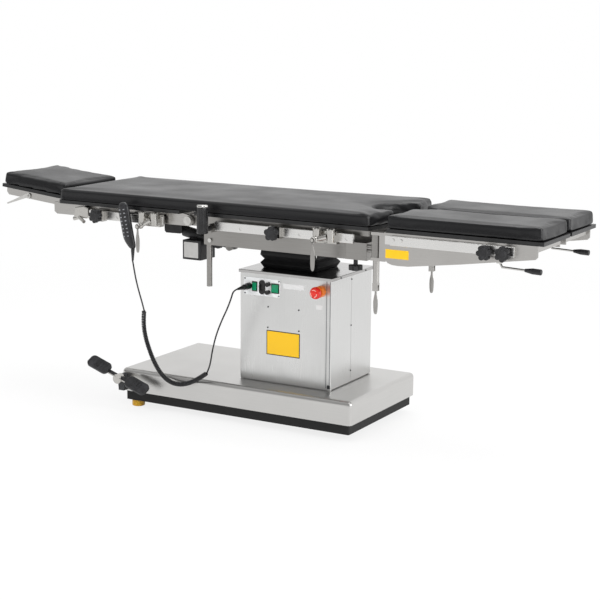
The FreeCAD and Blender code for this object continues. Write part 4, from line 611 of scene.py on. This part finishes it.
# Seat, back and leg frames
# Ground stainless plates and bars, with bright side rails on spacers and black laminate boards on top.
# The leg carrier and the leg rails are closed by small welded plates. A bare yellow plate is stuck on.
# Ground stainless: short streaks along each bar and a broken sheen. Plates are duller and the rails brighter.
# All streaks are drawn coarser than the real ones, to show.
plate_steel = brushed("ground_plate", "#a8a6a3", "#8d8b88", roughness=(0.28, 0.42),
                      streak=(90 * mm, 2.2 * mm))
frame_steel = brushed("ground_bar", "#c2c0bd", "#aeaca9", roughness=(0.26, 0.38),
                      streak=(90 * mm, 2.2 * mm))
rail_steel = brushed("bright_rail", "#e6e5e3", "#d8d7d5", roughness=(0.24, 0.34),
                     streak=(120 * mm, 2.4 * mm))
# Melamine-faced board: black and nearly glossy.
board_black = moulded("laminate_board", "#151516", "#1e1e20", 2.2 * mm, 0.03 * mm, roughness=(0.28, 0.42))
give(plate_steel, "seat_frame")
give(frame_steel, "back_frame", "head_frame", "leg_frame_near", "leg_frame_far")
give(frame_steel, "leg_post_near", "leg_post_far")
give(board_black, "seat_board", "back_board", "head_board", "leg_board_near", "leg_board_far")
for low_y, high_y in ((-241, -229.5), (229.5, 241)):
    give_part("seat_frame", rail_steel, (-217, low_y, 654), (301, high_y, 685))
    give_part("back_frame", rail_steel, (-736, low_y, 654), (-424, high_y, 685))
give_part("seat_frame", bright_steel, (-352, -226, 659), (-320, -217.2, 691))
give_part("seat_frame", bright_steel, (-264, -212, 606), (-248, -205.2, 622))
for side, y, low_y, high_y in (("near", -234.8, -247, -234.5), ("far", 232.8, 234.5, 247)):
    thin_plate("leg_rail_end_" + side, (410, y, 661.8), (433, y + 2.0, 689.2), 1.0,
               rail_steel, "leg_" + side)
    give_part("leg_frame_" + side, rail_steel, (431, low_y, 660), (842, high_y, 690.5))
for name, y in (("carrier_end_near", -217.6), ("carrier_end_far", 214.8)):
    thin_plate(name, (262.4, y, 600.4), (337.6, y + 2.8, 655.6), 1.5, plate_steel, "seat")
thin_plate("leg_plate", (412, -233.4, 619), (492, -233, 647), 1.5, plate_yellow, "leg_near")


# Clamps, knobs and release levers
# Satin cast clamps with toothed crowns hold side posts on the rails. Star knobs are black phenolic, and
# the release levers are bent from bright rod, with black grips pushed onto the leg sections' ones.
# Phenolic, moulded and worn by hands: dull black with paler patches.
knob_black = moulded("phenolic_knob", "#19191b", "#29292c", 1.6 * mm, 0.06 * mm, roughness=(0.4, 0.55))
give(cast_metal, "seat_clamps", "back_clamps")
give(knob_black, "seat_star_knob", "back_star_knob", "leg_lock_knob", "leg_star_knob_a", "leg_star_knob_b")
give(bright_steel, "head_lever", "leg_lever_near", "leg_lever_far")
give_part("leg_lever_near", knob_black, (865.5, -250, 590), (930, -180, 660))
give_part("leg_lever_far", knob_black, (865.5, 180, 590), (930, 250, 660))


# Back actuator
# A black linear drive with a bright rod raises the back section. It hangs between two black plates, with the
# back frame round it in black too, and bears a bare anodised plate.
# Anodised aluminium sheet: pale and even, without a clear reflection.
bare_metal = satin("anodised_plate", "#d4d3d1", "#bdbcba", roughness=(0.26, 0.36))
give(knob_black, "back_actuator")
give(bright_steel, "back_actuator_rod")
# The back frame's cheeks round the drive are given the black finish, and two black plates stand beside them.
give_part("back_frame", knob_black, (-521, -121, 609), (-429, -79, 671.9))
for name, y in (("actuator_black_plate_near", -122.6), ("actuator_black_plate_far", -79.6)):
    thin_plate(name, (-494, y, 611), (-426, y + 2.2, 671), 9.0, knob_black, "back")
thin_plate("actuator_plate", (-398, -152.5, 537), (-340, -152, 590), 2.0, bare_metal, "actuator")


# Blade levers
# Cast spoon-shaped levers, ground bright on their broad faces. Each turns on the pin through its eye and
# closes a rail clamp or the clamp of a leg section's post.
def rows_along(piece, count):
    """Cuts a block into rows from top to bottom."""
    points = piece.data.vertices
    choose(piece, "EDGE",
           lambda edge: abs(points[edge.vertices[0]].co.z - points[edge.vertices[1]].co.z) > 1e-6)
    bpy.ops.mesh.subdivide(number_cuts=count - 1)
    bpy.ops.object.mode_set(mode="OBJECT")


def shape_row(piece, z, wide, deep, centre):
    """Scales the points of one row about a centre."""
    choose(piece, "VERT", lambda vertex: abs(vertex.co.z - z) < 1e-5)
    bpy.ops.transform.resize(value=(wide, deep, 1), center_override=centre)
    bpy.ops.object.mode_set(mode="OBJECT")


def rounded_off(piece, levels):
    """Turns a rough block into a smooth body by cutting its faces finer."""
    smooth = piece.modifiers.new("smooth", "SUBSURF")
    smooth.levels = levels
    smooth.render_levels = levels
    bpy.ops.object.modifier_apply(modifier="smooth")
    bpy.ops.object.shade_smooth()


# Steel casting, ground and tumbled: soft mottled gloss, a little darker than the clamps.
lever_metal = satin("ground_lever_casting", "#aeaca9", "#959390", roughness=(0.24, 0.36))
blade_wide = 18 * mm
blade_thick = 5.4 * mm
blade_taper = 0.045
eye_wire_r = 2.1
# Width of the blade row by row from the eye down, as a part of its full width.
blade_outline = (0.42, 0.4, 0.5, 0.76, 0.94, 1.0, 1.0, 0.96, 0.9, 0.8, 0.5)


def spoon_lever(name, node, body, pin, length, eye_r):
    """A cast lever: an eye round its pin, a short neck and a spoon-shaped blade with a round end."""
    middle = at(*pin)
    top, low = (pin[2] - eye_r + 2.5) * mm, (pin[2] - length) * mm
    blade = block((middle.x, middle.y, (top + low) / 2), (blade_wide, blade_thick, top - low))
    rows = len(blade_outline) - 1
    rows_along(blade, rows)
    for index, wide in enumerate(blade_outline):
        row_z = top + (low - top) * index / rows
        shape_row(blade, row_z, wide, 1.0 - blade_taper * index, (middle.x, middle.y, row_z))
    rounded_off(blade, 2)
    eye = side_ring(middle, (eye_r - eye_wire_r) * mm, eye_wire_r * mm, 32, 12)
    bpy.ops.object.mode_set(mode="EDIT")
    bpy.ops.mesh.select_all(action="SELECT")
    bpy.ops.transform.resize(value=(1, 1.8, 1), center_override=middle)
    bpy.ops.object.mode_set(mode="OBJECT")
    finished(joined([blade, eye]), name, lever_metal, body)
    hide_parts(node)


spoon_lever("seat_spoon_near", "seat_clamp_lever_near", "clamp_lever_near", (185, -292, 663), 100, 9.5)
spoon_lever("seat_spoon_far", "seat_clamp_lever_far", "clamp_lever_far", (185, 292, 663), 100, 9.5)
spoon_lever("back_spoon", "back_clamp_lever", "back_lever", (-491, -292, 652), 90, 9.5)
spoon_lever("post_spoon_near", "leg_post_lever_near", "post_lever_near", (369, -210, 514), 84, 8.2)
spoon_lever("post_spoon_far", "leg_post_lever_far", "post_lever_far", (369, 210, 514), 84, 8.2)


# Side grip
# A glossy black ribbed grip turns on a steel boss at the side rail. A bright fluted cap, pressed in from
# above, closes it.
# Moulded nylon, polished by use: glossy black with narrow highlights on its ribs.
grip_black = moulded("glossy_grip", "#161617", "#242426", 1.6 * mm, 0.04 * mm, roughness=(0.2, 0.32))
give(grip_black, "side_crank")
cap_middle = at(-239, -278, 738.5)
bpy.ops.object.select_all(action="DESELECT")
bpy.ops.mesh.primitive_cylinder_add(vertices=24, radius=18 * mm, depth=7 * mm, location=cap_middle)
cap = bpy.context.object
bpy.ops.object.transform_apply(location=True, rotation=True, scale=True)


def in_a_flute(vertex):
    """Whether a point of the cap's rim lies in one of its eight flutes."""
    turn = math.atan2(vertex.co.y - cap_middle.y, vertex.co.x - cap_middle.x)
    return round(math.degrees(turn) / 15) % 3 == 0


choose(cap, "VERT", in_a_flute)
bpy.ops.transform.resize(value=(0.86, 0.86, 1), center_override=cap_middle)
choose(cap, "FACE", lambda face: face.normal.z > 0.9)
ease(2.2, 3)
finished(cap, "grip_cap", bright_steel, "crank")


# Hand control
# A black ABS case with a domed top and a narrow lower end hangs on the rail by a folded strap. Sixteen
# membrane keys stand on it in two columns, and a rubber strain relief holds the cord.
# Moulded ABS, finely textured: black with a soft sheen. The keys are flat grey print on a membrane.
handset_case = moulded("handset_case", "#1c1c1e", "#2c2c2f", 1.4 * mm, 0.05 * mm, roughness=(0.25, 0.38))
handset_grey = painted("handset_marks", "#8f9094", roughness=0.4)
hang = Matrix.Translation(at(-568.5, -270, 728)) @ Matrix.Rotation(math.radians(-11.3), 4, "Y")
case_wide, case_deep, case_tall = 47 * mm, 26 * mm, 165 * mm
# Width and depth of each row from the top down, as parts of the case's own, and how far to the side
# of the middle, as a part of the width, the row draws in.
case_rows = [(0.6, 0.6, 0), (0.93, 0.92, 0)] + 6 * [(1.0, 1.0, 0)]
case_rows += [(0.98, 1.0, 0.5), (0.9, 0.96, 0.5), (0.7, 0.86, 0.5), (0.44, 0.66, 0.4)]
case = block((0, 0, -case_tall / 2), (case_wide, case_deep, case_tall))
rows_along(case, len(case_rows) - 1)
for index, (wide, deep, aside) in enumerate(case_rows):
    row_z = -case_tall * index / (len(case_rows) - 1)
    shape_row(case, row_z, wide, deep, (case_wide * aside, 0, row_z))
rounded_off(case, 2)
case.data.transform(hang)
strap_parts = []
for low, high in (((-9, 10.5, -70), (9, 13.5, -42)), ((-9, 12.5, -42.3), (9, 43, -39.3)),
                  ((-9, 40.3, -50), (9, 43, -40))):
    a, b = Vector(low) * mm, Vector(high) * mm
    strap = block((a + b) / 2, b - a)
    bpy.ops.object.mode_set(mode="EDIT")
    bpy.ops.mesh.select_all(action="SELECT")
    ease(0.8, 2)
    bpy.ops.object.mode_set(mode="OBJECT")
    strap.data.transform(Matrix.Translation(at(-558, -270, 727)))
    strap_parts.append(strap)
bpy.ops.object.select_all(action="DESELECT")
bpy.ops.mesh.primitive_cone_add(vertices=24, radius1=lead_r + 0.9 * mm, radius2=7 * mm, depth=40 * mm,
                                location=(9 * mm, 0, -183 * mm))
relief = bpy.context.object
bpy.ops.object.transform_apply(location=True, rotation=True, scale=True)
choose(relief, "VERT", lambda vertex: vertex.co.z < -190 * mm)
bpy.ops.transform.translate(value=(-9 * mm, 0, 0))
bpy.ops.object.mode_set(mode="OBJECT")
relief.data.transform(hang)
finished(joined([case, relief] + strap_parts), "handset_body", handset_case, "back")
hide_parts("handset")

key = block((0, 0, 0), (7 * mm, 1 * mm, 3.4 * mm))
choose(key, "FACE", lambda face: face.normal.y < -0.9)
ease(0.4, 2)
bpy.ops.object.mode_set(mode="OBJECT")
key_places = [Vector((x, -13.1, -26 - 13 * row)) * mm for row in range(8) for x in (-8.5, 8.5)]
keys = repeated(key, [hang @ Matrix.Translation(place) for place in key_places])
finished(keys, "handset_keys", handset_grey, "back")


# Pads
# Firm foam in stretched black vinyl with a fine leather grain. Each pad lies on its board, held by hook and
# loop tape. The back and seat share one pad, shaped with a fold at the back section's hinge.
def vinyl_cover():
    """Upholstery vinyl: leather cells 2.2 mm wide, soft broad folds and a shine that wear has smeared."""
    material, shader = surface("upholstery_vinyl", "#121214", 0.42, Specular_IOR_Level=0.4)
    links = material.node_tree.links
    place = add_node(material, "ShaderNodeTexCoord")
    cells = add_node(material, "ShaderNodeTexVoronoi",
                     {"Vector": place.outputs["Object"], "Scale": 1 / (2.2 * mm), "Randomness": 0.9},
                     feature="DISTANCE_TO_EDGE")
    folds = add_node(material, "ShaderNodeTexNoise",
                     {"Vector": place.outputs["Object"], "Scale": 1 / (70 * mm), "Detail": 3.0})
    smear = add_node(material, "ShaderNodeTexNoise",
                     {"Vector": place.outputs["Object"], "Scale": 1 / (150 * mm), "Detail": 5.0})
    tone = add_node(material, "ShaderNodeMix",
                    {0: smear.outputs["Fac"], 6: linear("#0e0e10"), 7: linear("#161618")}, data_type="RGBA")
    gloss = add_node(material, "ShaderNodeMapRange",
                     {"Value": smear.outputs["Fac"], "From Min": 0.3, "From Max": 0.7,
                      "To Min": 0.3, "To Max": 0.42})
    soft = add_node(material, "ShaderNodeBump",
                    {"Height": folds.outputs["Fac"], "Distance": 1.6 * mm, "Strength": 0.35})
    grain = add_node(material, "ShaderNodeBump",
                     {"Height": cells.outputs["Distance"], "Distance": 0.25 * mm, "Strength": 0.5,
                      "Normal": soft.outputs["Normal"]})
    links.new(tone.outputs[2], shader.inputs["Base Color"])
    links.new(gloss.outputs["Result"], shader.inputs["Roughness"])
    links.new(grain.outputs["Normal"], shader.inputs["Normal"])
    return material


vinyl = vinyl_cover()
pad_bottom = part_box("seat_pad")[0].z
stuck_height = 3 * mm
bulge = 4 * mm
cover_frames = 20


def stuffed(name, sources, cell, hold):
    """A padded cover blown up from the foam's shape. hold says whether a point stays on the board."""
    bpy.ops.object.select_all(action="DESELECT")
    for source in sources:
        copy = nodes[source].copy()
        copy.data = nodes[source].data.copy()
        copy.parent = None
        for key in list(copy.keys()):
            if key.startswith("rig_"):
                del copy[key]
        bpy.context.scene.collection.objects.link(copy)
        copy.select_set(True)
        bpy.context.view_layer.objects.active = copy
    if len(sources) > 1:
        bpy.ops.object.join()
    pad = bpy.context.view_layer.objects.active
    pad.name = name
    pad.data.name = name
    bpy.ops.object.mode_set(mode="EDIT")
    bpy.ops.mesh.select_all(action="SELECT")
    bpy.ops.mesh.customdata_custom_splitnormals_clear()
    bpy.ops.mesh.remove_doubles(threshold=0.00002)
    bpy.ops.mesh.select_all(action="DESELECT")
    bpy.ops.mesh.select_interior_faces()
    bpy.ops.mesh.delete(type="FACE")
    bpy.ops.object.mode_set(mode="OBJECT")
    remesh = pad.modifiers.new("even", "REMESH")
    remesh.mode = "VOXEL"
    remesh.voxel_size = cell
    shrink = pad.modifiers.new("shrink", "DISPLACE")
    shrink.strength = -0.4 * bulge
    shrink.mid_level = 0.0
    apply_modifiers(pad)
    start = np.array([v.co for v in pad.data.vertices])
    held = pad.vertex_groups.new(name="held")
    held.add([i for i, p in enumerate(start) if hold(Vector(p))], 1.0, "REPLACE")
    cloth = pad.modifiers.new("cover", "CLOTH")
    cloth.settings.quality = 5
    cloth.settings.mass = 0.4
    cloth.settings.tension_stiffness = 25
    cloth.settings.compression_stiffness = 25
    cloth.settings.shear_stiffness = 15
    cloth.settings.bending_stiffness = 6
    cloth.settings.use_pressure = True
    cloth.settings.uniform_pressure_force = 4
    cloth.settings.vertex_group_mass = "held"
    cloth.settings.effector_weights.gravity = 0
    cloth.collision_settings.use_collision = False
    cloth.point_cache.frame_start = 1
    cloth.point_cache.frame_end = cover_frames
    for number in range(1, cover_frames + 1):
        bpy.context.scene.frame_set(number)
    apply_modifiers(pad)
    bpy.context.scene.frame_set(1)
    moved = np.array([v.co for v in pad.data.vertices]) - start
    far = np.linalg.norm(moved, axis=1)
    kept = bulge * np.tanh(far / bulge) / np.maximum(far, 1e-9)
    pad.data.vertices.foreach_set("co", (start + moved * kept[:, None]).astype(np.float32).ravel())
    pad.vertex_groups.clear()
    smooth = pad.modifiers.new("smooth", "SUBSURF")
    smooth.levels = 1
    smooth.render_levels = 1
    apply_modifiers(pad)
    bpy.ops.object.shade_smooth()
    pad.data.materials.clear()
    pad.data.materials.append(vinyl)
    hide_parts(*sources)
    return pad


def on_board(p):
    """Whether a point of a level pad lies in the layer that is stuck to the board."""
    return p.z < pad_bottom + stuck_height


torso_pad = stuffed("torso_pad", ["back_pad", "torso_pad_fold", "seat_pad"], 8 * mm, on_board)
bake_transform(torso_pad)
for side in ("near", "far"):
    leg_pad = stuffed("leg_cushion_" + side, ["leg_pad_" + side], 6 * mm, on_board)
    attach(leg_pad, "leg_" + side)
# The head section hangs from its own hinge and is tilted up a little at rest.
head_axis = at(-893, 0, 678)
head_turn = Matrix.Rotation(math.radians(-5.6), 4, "Y")
head_cushion = stuffed("head_cushion", ["head_pad"], 6 * mm,
                       lambda p: on_board(head_axis + head_turn @ (p - head_axis)))
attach(head_cushion, "head")


# Floor and light
# A plain white studio floor runs out to a white background. Soft lamps stand above, beyond the leg end
# and in front of the table, and the front one lights only what is dull, so the steel mirrors a dim room.
def studio_floor():
    """Matt white card. The camera and the metals see it whiter, fully white beyond the object's shadow."""
    material, shader = surface("studio_floor", "#f2f2f2", 0.9)
    ray = add_node(material, "ShaderNodeLightPath")
    plain = add_node(material, "ShaderNodeEmission", {"Color": linear("#ffffff"), "Strength": 1.0})
    mirrored = add_node(material, "ShaderNodeMath",
                        {0: ray.outputs["Is Glossy Ray"], 1: ray.outputs["Is Transmission Ray"]},
                        operation="MAXIMUM")
    seen = add_node(material, "ShaderNodeMath", {0: ray.outputs["Is Camera Ray"], 1: mirrored.outputs[0]},
                    operation="MAXIMUM")
    place = add_node(material, "ShaderNodeTexCoord")
    away = add_node(material, "ShaderNodeVectorMath", {0: place.outputs["Object"]}, operation="LENGTH")
    plainer = add_node(material, "ShaderNodeMapRange",
                       {"Value": away.outputs["Value"], "From Min": 1.2, "From Max": 3.5,
                        "To Min": 0.82, "To Max": 1.0})
    lift = add_node(material, "ShaderNodeMath", {0: seen.outputs[0], 1: plainer.outputs["Result"]},
                    operation="MULTIPLY")
    mixed = add_node(material, "ShaderNodeMixShader",
                     {0: lift.outputs[0], 1: shader.outputs[0], 2: plain.outputs[0]})
    output = material.node_tree.nodes["Material Output"]
    material.node_tree.links.new(mixed.outputs[0], output.inputs["Surface"])
    return material


bpy.ops.object.select_all(action="DESELECT")
bpy.ops.mesh.primitive_plane_add(size=60, location=(0, 0, 0))
floor = bpy.context.object
floor.name = "studio_floor"
floor.data.materials.append(studio_floor())

# The room is dimmer in front of the table than behind it, and the camera sees plain white all round.
world = bpy.data.worlds.new("studio")
world.use_nodes = True
bpy.context.scene.world = world
sky = world.node_tree.nodes["Background"]
sky.inputs["Color"].default_value = linear("#ffffff")
aim = add_node(world, "ShaderNodeTexCoord")
aim_parts = add_node(world, "ShaderNodeSeparateXYZ", {"Vector": aim.outputs["Generated"]})
wall_light = add_node(world, "ShaderNodeMapRange",
                      {"Value": aim_parts.outputs["Y"], "From Min": -0.7, "From Max": 0.5,
                       "To Min": 0.4, "To Max": 1.0})
world.node_tree.links.new(wall_light.outputs["Result"], sky.inputs["Strength"])
ray = add_node(world, "ShaderNodeLightPath")
backdrop = add_node(world, "ShaderNodeBackground", {"Color": linear("#ffffff"), "Strength": 1.0})
picked = add_node(world, "ShaderNodeMixShader",
                  {0: ray.outputs["Is Camera Ray"], 1: sky.outputs[0], 2: backdrop.outputs[0]})
world.node_tree.links.new(picked.outputs[0], world.node_tree.nodes["World Output"].inputs["Surface"])


def soft_lamp(name, place, size, power):
    """A rectangular soft box of a power in watts, aimed at the middle of the table."""
    lamp_data = bpy.data.lights.new(name, "AREA")
    lamp_data.shape = "RECTANGLE"
    lamp_data.size, lamp_data.size_y = size
    lamp_data.energy = power
    lamp = bpy.data.objects.new(name, lamp_data)
    bpy.context.scene.collection.objects.link(lamp)
    lamp.location = place
    lamp.rotation_mode = "QUATERNION"
    lamp.rotation_quaternion = (table_middle - Vector(place)).to_track_quat("-Z", "Y")
    return lamp


table_middle = Vector((0, 0, 0.4))
soft_lamp("overhead_lamp", (0.2, 0.6, 3.6), (3.2, 2.4), 60)
soft_lamp("leg_end_lamp", (3.4, -0.4, 1.6), (2.2, 2.2), 60)
front_lamp = soft_lamp("front_lamp", (-0.6, -2.8, 2.6), (2.4, 1.8), 55)
front_lamp.visible_glossy = False
